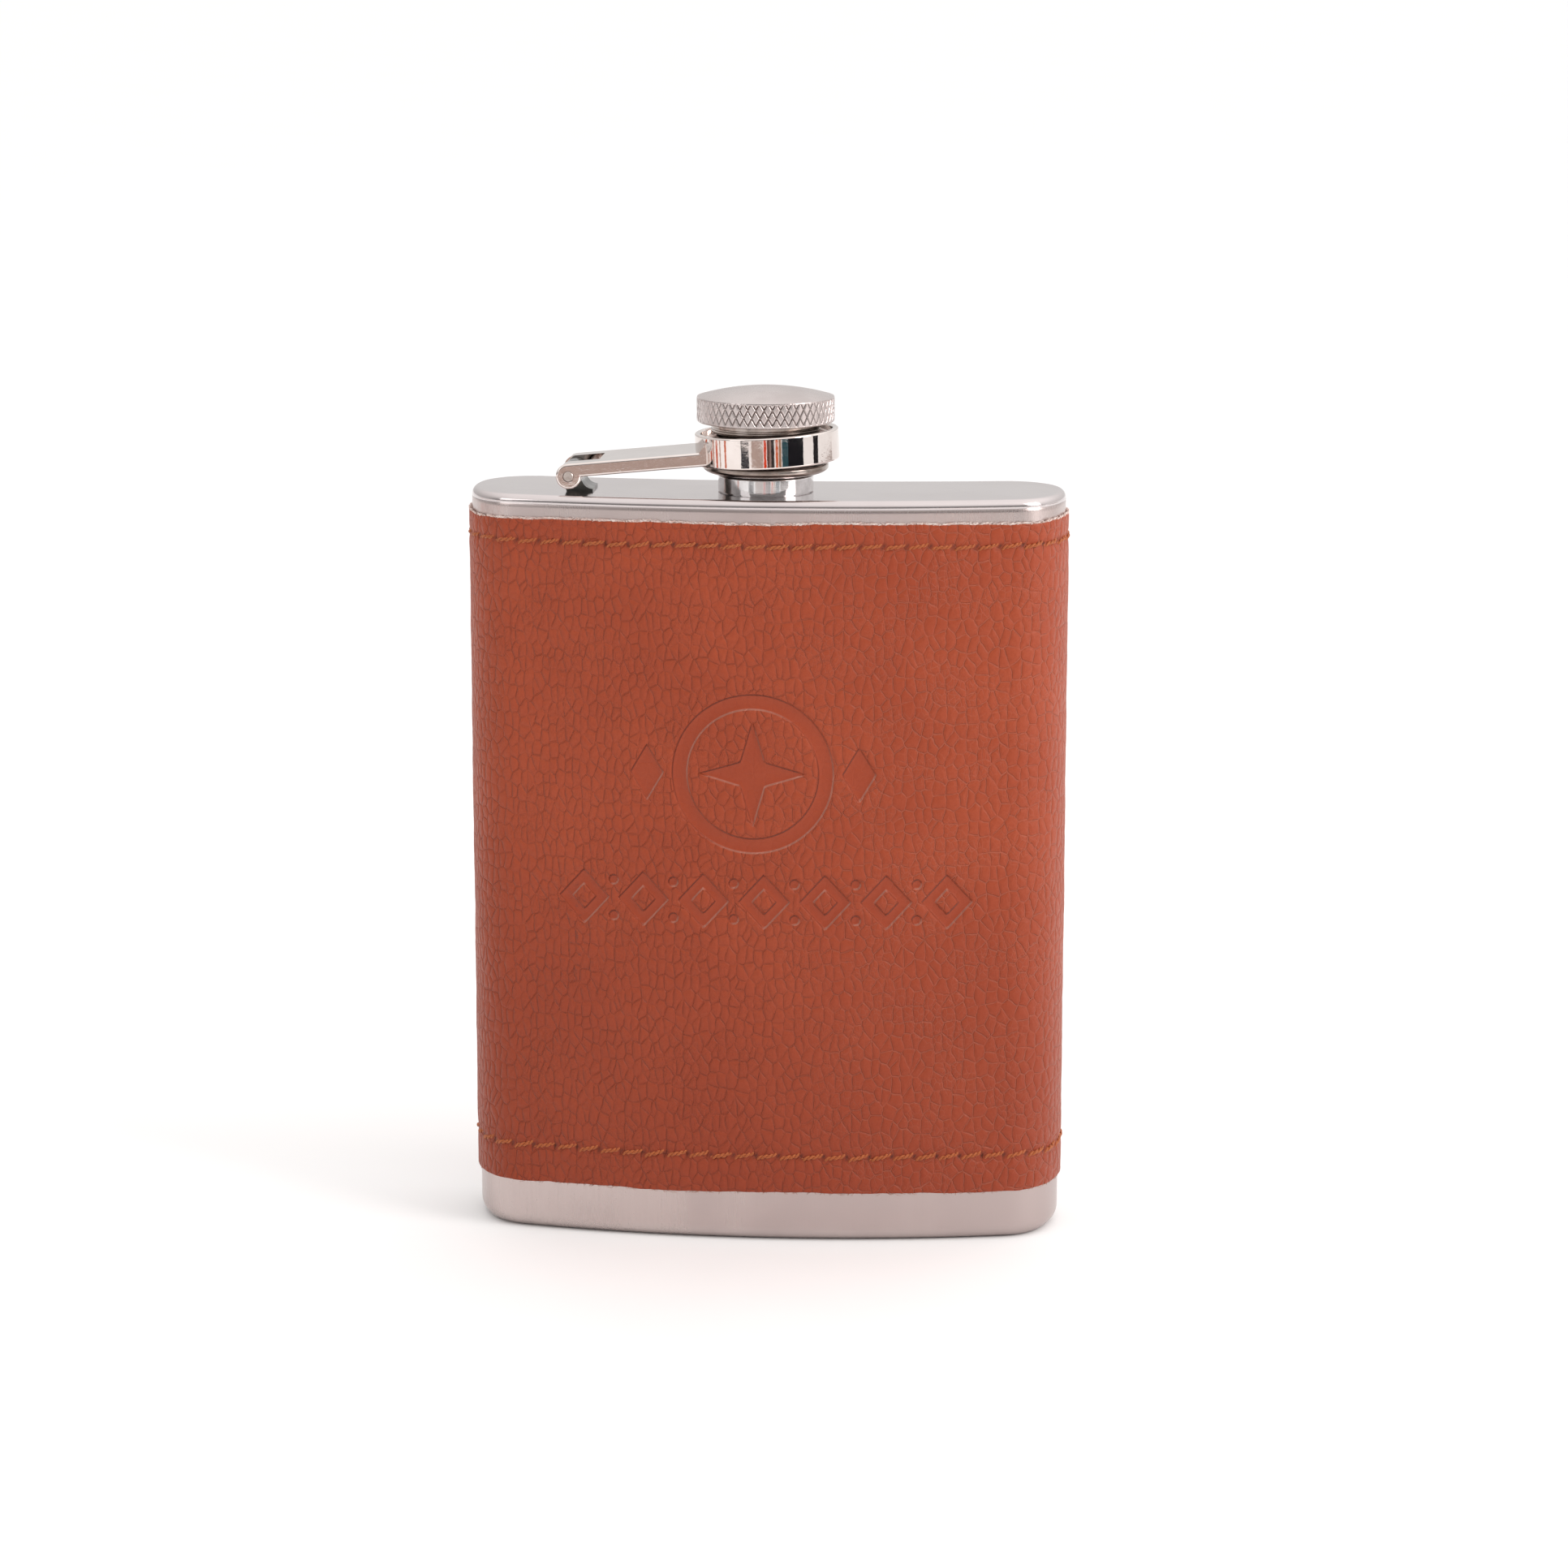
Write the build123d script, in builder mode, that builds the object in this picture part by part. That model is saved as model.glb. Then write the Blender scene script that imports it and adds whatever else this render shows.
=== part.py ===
"""Leather-wrapped steel hip flask with a screw cap held captive on a hinged arm.

Frame: millimetres, +Z up, origin on the base face straight under the neck axis.
The front of the flask faces -Y and the hinge stands on the -X side of the neck.
"""
import os
from math import cos, radians, sin

from build123d import *

# Steel body: a kidney-shaped tube closed by a pressed plate at each end
HEIGHT = 119.5
WIDTH = 94.1
DEPTH = 23.7
FRONT_RADIUS = 183.35
BACK_RADIUS = 249.65
END_RADIUS = 16.35
END_MIDDLE = 4.3
CORNER_RADIUS = 8.85
WALL = 0.7
PLATE = 0.8
BASE_SKIRT = 5.0
BASE_FILLET = 2.5
TOP_SKIRT = 2.0
TOP_FILLET = 1.1

# Leather sleeve and its two rows of stitching
LEATHER_GAP = 0.05
LEATHER_THICK = 0.45
LEATHER_BOTTOM = 8.2
LEATHER_TOP = 115.9
STITCH_PROUD = 0.3
STITCH_WIDTH = 0.6
BOTTOM_STITCH_HEIGHT = 14.2
TOP_STITCH_HEIGHT = 112.4

# Spout neck, heights measured up from the top plate
MOUTH_RADIUS = 5.0
NECK_RADIUS = 5.7
THREAD_RADIUS = 6.2
THREAD_START = 5.4
THREAD_END = 8.6
NECK_TOP = 9.0
COLLAR_RADIUS = 7.5
COLLAR_HEIGHT = 2.65
COLLAR_CHAMFER = 0.25
SPIGOT_RADIUS = 6.0
SPIGOT_FIT = 0.05
SPIGOT_DEPTH = 1.4

# Cap, heights measured up from the top plate
CAP_BORE = 6.95
WAIST_RADIUS = 7.75
CAP_BOTTOM = 2.85
FLANGE_RADIUS = 9.87
FLANGE_RIM = 3.75
FLANGE_TOP = 4.5
FLANGE_EDGE = 0.35
FLARE_SLOPES = [(1, 0.15), (1, 1.6)]
CAP_CEILING = 10.15
SHOULDER_RADIUS = 8.6
SHOULDER_BOTTOM = 9.4
SHOULDER_EDGE = 0.2
SLEEVE_TOP = 12.3
HEAD_RADIUS = 10.8
HEAD_BOTTOM = 11.0
BAND_TOP = 14.9
DOME_TOP = 16.45
HEAD_FIT = 0.05
HEAD_CHAMFER = 0.3
GASKET_RADIUS = 6.8
GASKET_BOTTOM = 9.05
GASKET_THICK = 1.05

# Hinge and captive arm: the arm slopes up from the pivot to the ring round the cap
PIVOT_X = -30.4
PIVOT_HEIGHT = 2.75
ARM_SLOPE = 5.4
ARM_WIDTH = 13.6
ARM_BOTTOM = -0.2
ARM_TOP = 2.0
EAR_RADIUS = 2.0
SLOT_WIDTH = 7.0
SLOT_LENGTH = 4.8
RING_OUTER = 11.3
RING_INNER = 10.35
RING_SLOPE = 2.8
RING_BOTTOM = -0.9
RING_TOP = 4.0
LIP_INNER = 8.3
LIP_BOTTOM = 1.9
LIP_TOP = 2.7
GUSSET_START = 10.0
GUSSET_END = 8.5
GUSSET_RISE = 1.9
GUSSET_FOOT = 0.5
RING_SHIFT = 0.3
ARM_EDGE = 0.35
RIM_EDGE = 0.3
PIN_RADIUS = 0.8
PIN_FIT = 0.01
PIN_RUNNING_FIT = 0.06
PIN_PROUD = 0.1
LUG_RADIUS = 1.75
LUG_WIDTH = 6.6
LUG_FOOT_LENGTH = 3.4
LUG_FOOT_BACK = 0.7
LUG_FOOT_HEIGHT = 0.4
LUG_FOOT_MIDDLE = (2.15, 0.95)

# The ring is loose on the cap and rests a little toward the far side
RING_DISTANCE = -PIVOT_X / cos(radians(ARM_SLOPE)) + RING_SHIFT


def sag(radius, half_chord):
    """Rise of a circular arc above its chord."""
    return radius - (radius**2 - half_chord**2) ** 0.5


def meeting(centre_y, radius, end, end_radius):
    """Outermost point where a circle centred on the Y axis crosses an end circle."""
    reach_x, reach_y = end[0], end[1] - centre_y
    gap = (reach_x**2 + reach_y**2) ** 0.5
    along = (radius**2 - end_radius**2 + gap**2) / (2 * gap)
    across = (radius**2 - along**2) ** 0.5
    crossings = [
        ((along * reach_x + side * across * reach_y) / gap,
         centre_y + (along * reach_y - side * across * reach_x) / gap)
        for side in (1, -1)
    ]
    return max(crossings)


def body_outline(grow):
    """Plan outline of the steel body, moved outward by grow: convex front, hollow back."""
    end = (WIDTH / 2 - END_RADIUS, END_MIDDLE)
    end_radius = END_RADIUS + grow
    front_x, front_y = meeting(FRONT_RADIUS - DEPTH / 2, FRONT_RADIUS + grow, end, end_radius)
    back_x, back_y = meeting(BACK_RADIUS + DEPTH / 2, BACK_RADIUS - grow, end, end_radius)
    tip = WIDTH / 2 + grow
    half_depth = DEPTH / 2 + grow
    with BuildSketch() as outline:
        with BuildLine():
            ThreePointArc((-front_x, front_y), (0, -half_depth), (front_x, front_y))
            ThreePointArc((front_x, front_y), (tip, END_MIDDLE), (back_x, back_y))
            ThreePointArc((back_x, back_y), (0, half_depth), (-back_x, back_y))
            ThreePointArc((-back_x, back_y), (-tip, END_MIDDLE), (-front_x, front_y))
        make_face()
        fillet(outline.vertices(), CORNER_RADIUS + grow)
    return outline.sketch


def dome_arc(radius, bottom, top):
    """Three points of a spherical cap's half section, from the axis to the rim."""
    rise = top - bottom
    sphere = (radius**2 + rise**2) / (2 * rise)
    middle = (radius / 2, top - sag(sphere, radius / 2))
    return above_plate([(0, top), middle, (radius, bottom)])


def above_plate(points):
    """Radius and height pairs, given from the top plate up, as points of the half section."""
    return [(radius, HEIGHT + height) for radius, height in points]


# Plan outlines, from the inside of the steel to the outside of the stitching
leather_outer = LEATHER_GAP + LEATHER_THICK
inside_plan = body_outline(-WALL)
body_plan = body_outline(0)
leather_inside_plan = body_outline(LEATHER_GAP)
leather_plan = body_outline(leather_outer)
stitch_plan = body_outline(leather_outer + STITCH_PROUD)
floor_plan = body_outline(-BASE_FILLET)

# Body shell: the rolled and seam-welded tube
with BuildPart() as body_shell:
    with BuildSketch(Plane.XY.offset(BASE_SKIRT)):
        add(body_plan)
        add(inside_plan, mode=Mode.SUBTRACT)
    extrude(amount=HEIGHT - TOP_SKIRT - BASE_SKIRT)

# Bottom plate: a pressed dish whose rounded rim meets the tube
with BuildPart() as bottom_plate:
    with BuildSketch():
        add(body_plan)
    extrude(amount=BASE_SKIRT)
    fillet(bottom_plate.faces().sort_by(Axis.Z)[0].edges(), BASE_FILLET)
    with BuildSketch(Plane.XY.offset(PLATE)):
        add(floor_plan)
    extrude(amount=BASE_SKIRT, mode=Mode.SUBTRACT)
    with BuildSketch(Plane.XY.offset(BASE_FILLET)):
        add(inside_plan)
    extrude(amount=BASE_SKIRT, mode=Mode.SUBTRACT)

# Top plate: a pressed lid with the hole for the neck
with BuildPart() as top_plate:
    with BuildSketch(Plane.XY.offset(HEIGHT - TOP_SKIRT)):
        add(body_plan)
    extrude(amount=TOP_SKIRT)
    fillet(top_plate.faces().sort_by(Axis.Z)[-1].edges(), TOP_FILLET)
    with BuildSketch(Plane.XY.offset(HEIGHT - TOP_SKIRT)):
        add(inside_plan)
    extrude(amount=TOP_SKIRT - PLATE, mode=Mode.SUBTRACT)
    with Locations((0, 0, HEIGHT)):
        Hole(SPIGOT_RADIUS + SPIGOT_FIT, depth=TOP_SKIRT)

# Spout neck: collar, plain neck and threaded mouth, with a spigot through the top plate
with BuildPart() as spout_neck:
    with BuildSketch(Plane.XZ):
        with BuildLine():
            Polyline(
                above_plate([
                    (MOUTH_RADIUS, -SPIGOT_DEPTH),
                    (SPIGOT_RADIUS, -SPIGOT_DEPTH),
                    (SPIGOT_RADIUS, 0),
                    (COLLAR_RADIUS, 0),
                    (COLLAR_RADIUS, COLLAR_HEIGHT - COLLAR_CHAMFER),
                    (COLLAR_RADIUS - COLLAR_CHAMFER, COLLAR_HEIGHT),
                    (NECK_RADIUS, COLLAR_HEIGHT),
                    (NECK_RADIUS, THREAD_START),
                    (THREAD_RADIUS, THREAD_START + THREAD_RADIUS - NECK_RADIUS),
                    (THREAD_RADIUS, THREAD_END),
                    (NECK_RADIUS, NECK_TOP),
                    (MOUTH_RADIUS, NECK_TOP),
                ]),
                close=True,
            )
        make_face()
    revolve(axis=Axis.Z)

# Cap sleeve: closed at the top, with the flared flange that keeps the ring captive
# and a shoulder under the head
with BuildPart() as cap_sleeve:
    with BuildSketch(Plane.XZ):
        with BuildLine():
            flare = Spline(
                above_plate([(WAIST_RADIUS, CAP_BOTTOM), (FLANGE_RADIUS, FLANGE_RIM)]),
                tangents=FLARE_SLOPES,
            )
            Polyline(
                flare @ 1,
                *above_plate([
                    (FLANGE_RADIUS, FLANGE_TOP - FLANGE_EDGE),
                    (FLANGE_RADIUS - FLANGE_EDGE, FLANGE_TOP),
                    (WAIST_RADIUS, FLANGE_TOP),
                    (WAIST_RADIUS, SHOULDER_BOTTOM),
                    (SHOULDER_RADIUS - SHOULDER_EDGE, SHOULDER_BOTTOM),
                    (SHOULDER_RADIUS, SHOULDER_BOTTOM + SHOULDER_EDGE),
                    (SHOULDER_RADIUS, HEAD_BOTTOM - HEAD_FIT),
                    (WAIST_RADIUS, HEAD_BOTTOM - HEAD_FIT),
                    (WAIST_RADIUS, SLEEVE_TOP),
                    (0, SLEEVE_TOP),
                    (0, CAP_CEILING),
                    (CAP_BORE, CAP_CEILING),
                    (CAP_BORE, CAP_BOTTOM),
                    (WAIST_RADIUS, CAP_BOTTOM),
                ]),
            )
        make_face()
    revolve(axis=Axis.Z)

# Cap head: a hollow domed shell with a gripping band, pressed over the sleeve
with BuildPart() as cap_head:
    with BuildSketch(Plane.XZ):
        with BuildLine():
            outer = ThreePointArc(*dome_arc(HEAD_RADIUS, BAND_TOP, DOME_TOP))
            inner = ThreePointArc(*dome_arc(HEAD_RADIUS - PLATE, BAND_TOP - PLATE, DOME_TOP - PLATE))
            Line(outer @ 0, inner @ 0)
            Polyline(
                outer @ 1,
                *above_plate([
                    (HEAD_RADIUS, HEAD_BOTTOM + HEAD_CHAMFER),
                    (HEAD_RADIUS - HEAD_CHAMFER, HEAD_BOTTOM),
                    (WAIST_RADIUS + HEAD_FIT, HEAD_BOTTOM),
                    (WAIST_RADIUS + HEAD_FIT, HEAD_BOTTOM + PLATE),
                    (HEAD_RADIUS - PLATE, HEAD_BOTTOM + PLATE),
                ]),
                inner @ 1,
            )
        make_face()
    revolve(axis=Axis.Z)

# Cap gasket: the loose disc that seals the mouth
with BuildPart() as cap_gasket:
    with BuildSketch(Plane.XY.offset(HEIGHT + GASKET_BOTTOM)):
        Circle(GASKET_RADIUS)
    extrude(amount=GASKET_THICK)

# Hinge bracket: the lug welded on the top plate, with a foot that spreads toward the neck
with BuildPart() as hinge_bracket:
    with BuildSketch(Plane.XZ.offset(-LUG_WIDTH / 2)):
        with Locations((PIVOT_X, HEIGHT + PIVOT_HEIGHT)):
            Circle(LUG_RADIUS)
        with BuildLine():
            foot_curve = ThreePointArc(
                (PIVOT_X + LUG_FOOT_LENGTH, HEIGHT + LUG_FOOT_HEIGHT),
                (PIVOT_X + LUG_FOOT_MIDDLE[0], HEIGHT + LUG_FOOT_MIDDLE[1]),
                (PIVOT_X + LUG_RADIUS, HEIGHT + PIVOT_HEIGHT),
            )
            Polyline(
                foot_curve @ 1,
                (PIVOT_X - LUG_RADIUS, HEIGHT + PIVOT_HEIGHT),
                (PIVOT_X - LUG_FOOT_BACK, HEIGHT),
                (PIVOT_X + LUG_FOOT_LENGTH, HEIGHT),
                foot_curve @ 0,
            )
        make_face()
        with Locations((PIVOT_X, HEIGHT + PIVOT_HEIGHT)):
            Circle(PIN_RADIUS + PIN_FIT, mode=Mode.SUBTRACT)
    extrude(amount=LUG_WIDTH)

# Hinge pin: through both ears of the arm and the lug
with BuildPart() as hinge_pin:
    with BuildSketch(Plane.XZ.offset(-ARM_WIDTH / 2 - PIN_PROUD)):
        with Locations((PIVOT_X, HEIGHT + PIVOT_HEIGHT)):
            Circle(PIN_RADIUS)
    extrude(amount=ARM_WIDTH + 2 * PIN_PROUD)
    chamfer(hinge_pin.edges().filter_by(GeomType.CIRCLE), PIN_PROUD)

# Captive arm: forked ears at the pivot, a flat bar, and the ring that holds the cap
slope = radians(ARM_SLOPE)
arm_plane = Plane(
    origin=(PIVOT_X, 0, HEIGHT + PIVOT_HEIGHT),
    x_dir=(cos(slope), 0, sin(slope)),
    z_dir=(-sin(slope), 0, cos(slope)),
)
arm_side = Plane(origin=arm_plane.origin, x_dir=arm_plane.x_dir, z_dir=(0, -1, 0))
ring_slope = radians(RING_SLOPE)
ring_plane = Plane(
    origin=arm_plane.from_local_coords((RING_DISTANCE, 0, 0)),
    x_dir=(cos(ring_slope), 0, sin(ring_slope)),
    z_dir=(-sin(ring_slope), 0, cos(ring_slope)),
)
ring_section = Plane(origin=ring_plane.origin, x_dir=ring_plane.x_dir, z_dir=(0, -1, 0))
with BuildPart() as gusset:
    with BuildSketch(arm_side.offset(-ARM_WIDTH / 2)):
        with BuildLine():
            Polyline(
                (RING_DISTANCE - GUSSET_START, ARM_TOP - GUSSET_FOOT),
                (RING_DISTANCE - GUSSET_START, ARM_TOP),
                (RING_DISTANCE - GUSSET_END, ARM_TOP + GUSSET_RISE),
                (RING_DISTANCE - GUSSET_END, ARM_TOP - GUSSET_FOOT),
                close=True,
            )
        make_face()
    extrude(amount=ARM_WIDTH)
    with BuildSketch(ring_plane.offset(RING_BOTTOM)):
        Circle((RING_INNER + RING_OUTER) / 2)
    extrude(amount=RING_TOP - RING_BOTTOM, mode=Mode.SUBTRACT)
with BuildPart() as captive_arm:
    with BuildSketch(ring_section):
        with BuildLine():
            Polyline(
                (RING_OUTER, RING_BOTTOM),
                (RING_OUTER, RING_TOP),
                (RING_INNER, RING_TOP),
                (RING_INNER, LIP_TOP),
                (LIP_INNER, LIP_TOP),
                (LIP_INNER, LIP_BOTTOM),
                (RING_INNER, LIP_BOTTOM),
                (RING_INNER, RING_BOTTOM),
                close=True,
            )
        make_face()
    revolve(axis=Axis(ring_plane.origin, ring_plane.z_dir))
    rims = captive_arm.edges().filter_by(GeomType.CIRCLE)
    fillet(rims.filter_by(lambda rim: rim.radius > LIP_INNER + RIM_EDGE), RIM_EDGE)
    with BuildSketch(arm_plane.offset(ARM_BOTTOM)):
        with Locations((RING_DISTANCE / 2, 0)):
            Rectangle(RING_DISTANCE, ARM_WIDTH)
        with Locations((RING_DISTANCE, 0)):
            Circle((RING_INNER + RING_OUTER) / 2, mode=Mode.SUBTRACT)
    extrude(amount=ARM_TOP - ARM_BOTTOM)
    with BuildSketch(arm_side.offset(-ARM_WIDTH / 2)):
        Circle(EAR_RADIUS)
    extrude(amount=ARM_WIDTH)
    along_arm = captive_arm.edges().filter_by(Axis(arm_plane.origin, arm_plane.x_dir))
    ear_rims = captive_arm.edges().filter_by(GeomType.CIRCLE).sort_by(Edge.radius)[:2]
    fillet(along_arm + ear_rims, ARM_EDGE)
    add(gusset.part)
    with BuildSketch(arm_plane.offset(-EAR_RADIUS)):
        Rectangle(2 * SLOT_LENGTH, SLOT_WIDTH)
    extrude(amount=EAR_RADIUS + ARM_TOP, mode=Mode.SUBTRACT)
    with BuildSketch(arm_side.offset(-ARM_WIDTH / 2)):
        Circle(PIN_RADIUS + PIN_RUNNING_FIT)
    extrude(amount=ARM_WIDTH, mode=Mode.SUBTRACT)

# Leather wrap: a sleeve drawn tight round the body, short of both rims
with BuildPart() as leather_wrap:
    with BuildSketch(Plane.XY.offset(LEATHER_BOTTOM)):
        add(leather_plan)
        add(leather_inside_plan, mode=Mode.SUBTRACT)
    extrude(amount=LEATHER_TOP - LEATHER_BOTTOM)

# Stitching: a row of thread near each edge of the leather
with BuildPart() as bottom_stitching:
    with BuildSketch(Plane.XY.offset(BOTTOM_STITCH_HEIGHT - STITCH_WIDTH / 2)):
        add(stitch_plan)
        add(leather_plan, mode=Mode.SUBTRACT)
    extrude(amount=STITCH_WIDTH)
with BuildPart() as top_stitching:
    with BuildSketch(Plane.XY.offset(TOP_STITCH_HEIGHT - STITCH_WIDTH / 2)):
        add(stitch_plan)
        add(leather_plan, mode=Mode.SUBTRACT)
    extrude(amount=STITCH_WIDTH)

pieces = {
    "body_shell": body_shell,
    "bottom_plate": bottom_plate,
    "top_plate": top_plate,
    "spout_neck": spout_neck,
    "hinge_bracket": hinge_bracket,
    "hinge_pin": hinge_pin,
    "captive_arm": captive_arm,
    "cap_head": cap_head,
    "cap_sleeve": cap_sleeve,
    "cap_gasket": cap_gasket,
    "leather_wrap": leather_wrap,
    "top_stitching": top_stitching,
    "bottom_stitching": bottom_stitching,
}
os.makedirs("parts", exist_ok=True)
for name, piece in pieces.items():
    piece.part.label = name
    export_step(piece.part, f"parts/{name}.step")
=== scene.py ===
"""Looks of a leather-wrapped steel hip flask with a captive screw cap.

Shapes are worked out in millimetres in the CAD frame: +Z up, front toward -Y,
hinge on the -X side. make_piece turns them into metres.
"""

from math import cos, pi, radians, sin, tau

import bmesh
import bpy
import numpy as np
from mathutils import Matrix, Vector


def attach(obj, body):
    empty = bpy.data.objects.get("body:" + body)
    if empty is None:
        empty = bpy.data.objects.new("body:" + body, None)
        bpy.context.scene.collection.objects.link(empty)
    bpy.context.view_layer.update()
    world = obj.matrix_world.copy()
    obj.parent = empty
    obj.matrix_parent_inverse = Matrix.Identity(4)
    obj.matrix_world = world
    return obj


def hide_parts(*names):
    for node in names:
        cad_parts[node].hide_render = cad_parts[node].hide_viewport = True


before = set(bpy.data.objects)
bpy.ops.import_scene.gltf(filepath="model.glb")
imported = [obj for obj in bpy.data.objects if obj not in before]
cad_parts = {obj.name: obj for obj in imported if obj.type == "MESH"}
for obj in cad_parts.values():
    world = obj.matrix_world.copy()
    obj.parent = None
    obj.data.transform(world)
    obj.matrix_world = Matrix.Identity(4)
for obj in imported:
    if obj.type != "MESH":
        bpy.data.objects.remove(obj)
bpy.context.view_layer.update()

MM = 0.001
random = np.random.default_rng(11)

# Steel body: outline of tangent arcs, and the pressed plates at its ends
HEIGHT = 119.5
WIDTH = 94.1
DEPTH = 23.7
FRONT_RADIUS = 183.35
BACK_RADIUS = 249.65
END_RADIUS = 16.35
END_MIDDLE = 4.3
CORNER_RADIUS = 8.85
WALL = 0.7
PLATE = 0.8
BASE_SKIRT = 5.0
BASE_FILLET = 2.5
TOP_SKIRT = 2.0
TOP_FILLET = 1.1
LID_GROOVE_DEPTH = 0.05
LID_GROOVE_ROWS = (0.32, 0.24, 0.2, 0.12)  # below the lid's rounding, lowest first
LID_FLAT = 2.0                             # from the rounding in to the plate's inner rows
BASE_FLAT = 3

# Leather and stitching
LEATHER_GAP = 0.05
LEATHER_OUTER = 0.5
LEATHER_BOTTOM = 8.2
LEATHER_TOP = 115.9
BOTTOM_STITCH_HEIGHT = 14.2
TOP_STITCH_HEIGHT = 112.4
STITCHES = 60
SEAM_GAP = 0.1        # half the gap at the back
EDGE_LEVELS = (0.36, 0.46)
EDGE_MIDDLE = 0.2
THINNEST = 0.14       # leather left under the deepest press
PRESS_DEPTH = 0.27
HOLE_DEPTH = 0.26
CHANNEL_DEPTH = 0.18
PUCKER_DEPTH = 0.05
HOLE_SLANT = 0.35
HOLE_SIZE = (0.24, 0.42)
CHANNEL_WIDTH = 0.85
PUCKER_WIDTH = 1.7
GRAIN_LENGTH = 2.3    # height of a grain cell
CORNER_LIFT = 0.7     # how far the lower left corner curls off the steel
CORNER_WIDTH = 4.0
CORNER_HEIGHT = 2.2

# Pressed motif: middles of the emblem and the border in the sheet's plane
EMBLEM = (-1.1, 76.4)
RING_RADIUS = 11.5
RING_HALF_WIDTH = 1.15
STAR_TIP = 8.4
STAR_WAIST = 2.7
SIDE_LOZENGE_OFFSET = 16.7
SIDE_LOZENGE = (2.6, 4.4)
BORDER = (0.7, 55.9)
BORDER_LOZENGES = 7
BORDER_PITCH = 9.6
BORDER_LOZENGE = (4.0, 4.4)
BORDER_HOLLOW = (1.9, 2.1)
DOT_HEIGHT = 2.9
DOT_RADIUS = 0.75
SCUFFED_AT = (-30.0, 50.0)

# Neck and cap, heights above the top plate
MOUTH_RADIUS = 5.0
NECK_RADIUS = 5.7
THREAD_RADIUS = 6.2
THREAD_START = 5.4
THREAD_END = 8.6
THREAD_PITCH = 1.25
THREAD_FADE = 0.5
CAP_THREAD_DEPTH = 0.3
NECK_TOP = 9.0
COLLAR_RADIUS = 7.5
COLLAR_HEIGHT = 2.65
FOOT_LINE = 0.16
FOOT_DEPTH = 0.4
SPIGOT_RADIUS = 6.0
SPIGOT_HOLE = 6.05
SPIGOT_DEPTH = 1.4
CAP_BORE = 6.95
WAIST_RADIUS = 7.75
CAP_BOTTOM = 2.85
FLANGE_RADIUS = 9.87
FLANGE_RIM = 3.75
FLANGE_TOP = 4.5
CAP_CEILING = 10.15
SHOULDER_RADIUS = 8.6
SHOULDER_BOTTOM = 9.4
SHOULDER_GROOVE_DEPTH = 0.14
SHOULDER_GROOVE_ROWS = (9.9, 9.97, 10.2, 10.27)
SLEEVE_TOP = 12.3
HEAD_RADIUS = 10.8
HEAD_BOTTOM = 11.0
BAND_TOP = 14.9
DOME_TOP = 16.45
HEAD_FIT = 0.05
KNURLS = 52
KNURL_LENGTH = 2.45
KNURL_DEPTH = 0.24
KNURL_KEENNESS = 3.4
KNURL_START = HEAD_BOTTOM + 0.42
TURNED_SEGMENTS = 128
SEGMENTS_PER_KNURL = 14
BAND_ROWS = 44


# ---- the body's plan
def crossing(a, radius_a, b, radius_b):
    """The outermost point where two circles cross."""
    gap = b - a
    distance = np.hypot(*gap)
    along = (radius_a**2 - radius_b**2 + distance**2) / (2 * distance)
    across = (radius_a**2 - along**2) ** 0.5
    unit = gap / distance
    side = np.array([-unit[1], unit[0]])
    return max((a + unit * along + turn * across * side for turn in (1, -1)), key=lambda p: p[0])


def bearing(a, b):
    """The direction from a to b."""
    return np.arctan2(b[1] - a[1], b[0] - a[0])


front_centre = np.array([0.0, FRONT_RADIUS - DEPTH / 2])
back_centre = np.array([0.0, BACK_RADIUS + DEPTH / 2])
end_centre = np.array([WIDTH / 2 - END_RADIUS, END_MIDDLE])
front_corner = crossing(front_centre, FRONT_RADIUS - CORNER_RADIUS, end_centre,
                        END_RADIUS - CORNER_RADIUS)
back_corner = crossing(back_centre, BACK_RADIUS + CORNER_RADIUS, end_centre,
                       END_RADIUS - CORNER_RADIUS)
arc_centre = np.array([front_centre, front_corner, end_centre, back_corner, back_centre])
arc_radius = np.array([FRONT_RADIUS, CORNER_RADIUS, END_RADIUS, CORNER_RADIUS, BACK_RADIUS])
arc_turns = np.array([
    (-pi / 2, bearing(front_centre, front_corner)),
    (bearing(front_centre, front_corner), bearing(end_centre, front_corner)),
    (bearing(end_centre, front_corner), bearing(end_centre, back_corner)),
    (bearing(end_centre, back_corner), bearing(back_centre, back_corner) + pi),
    (bearing(back_centre, back_corner), -pi / 2),
])
arc_length = arc_radius * np.abs(arc_turns[:, 1] - arc_turns[:, 0])
arc_start = np.concatenate([[0.0], np.cumsum(arc_length)[:-1]])
arc_sense = np.array([1, 1, 1, 1, -1])
HALF_ROUND = arc_length.sum()


def plan(s):
    """Points and outward directions on the body's outline, s round it from the front's middle."""
    away = np.minimum(np.abs(s), HALF_ROUND)
    arc = np.clip(np.searchsorted(arc_start, away, side="right") - 1, 0, 4)
    turn = arc_turns[arc, 0] + (away - arc_start[arc]) / arc_radius[arc] * arc_sense[arc]
    ray = np.stack([np.cos(turn), np.sin(turn)], -1)
    mirror = np.stack([np.where(s < 0, -1.0, 1.0), np.ones_like(s)], -1)
    point = (arc_centre[arc] + arc_radius[arc][..., None] * ray) * mirror
    return point, ray * arc_sense[arc][..., None] * mirror


def place_on_body(s, grow, z):
    """Points in space at s round the body, standing grow outside its outline."""
    point, out = plan(s)
    flat = point + out * np.asarray(grow)[..., None]
    return np.concatenate([flat, np.broadcast_to(z, s.shape)[..., None]], -1)


# ---- mesh helpers
def smooth(value):
    """0 to 1 with level ends."""
    value = np.clip(value, 0, 1)
    return value * value * (3 - 2 * value)


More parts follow.
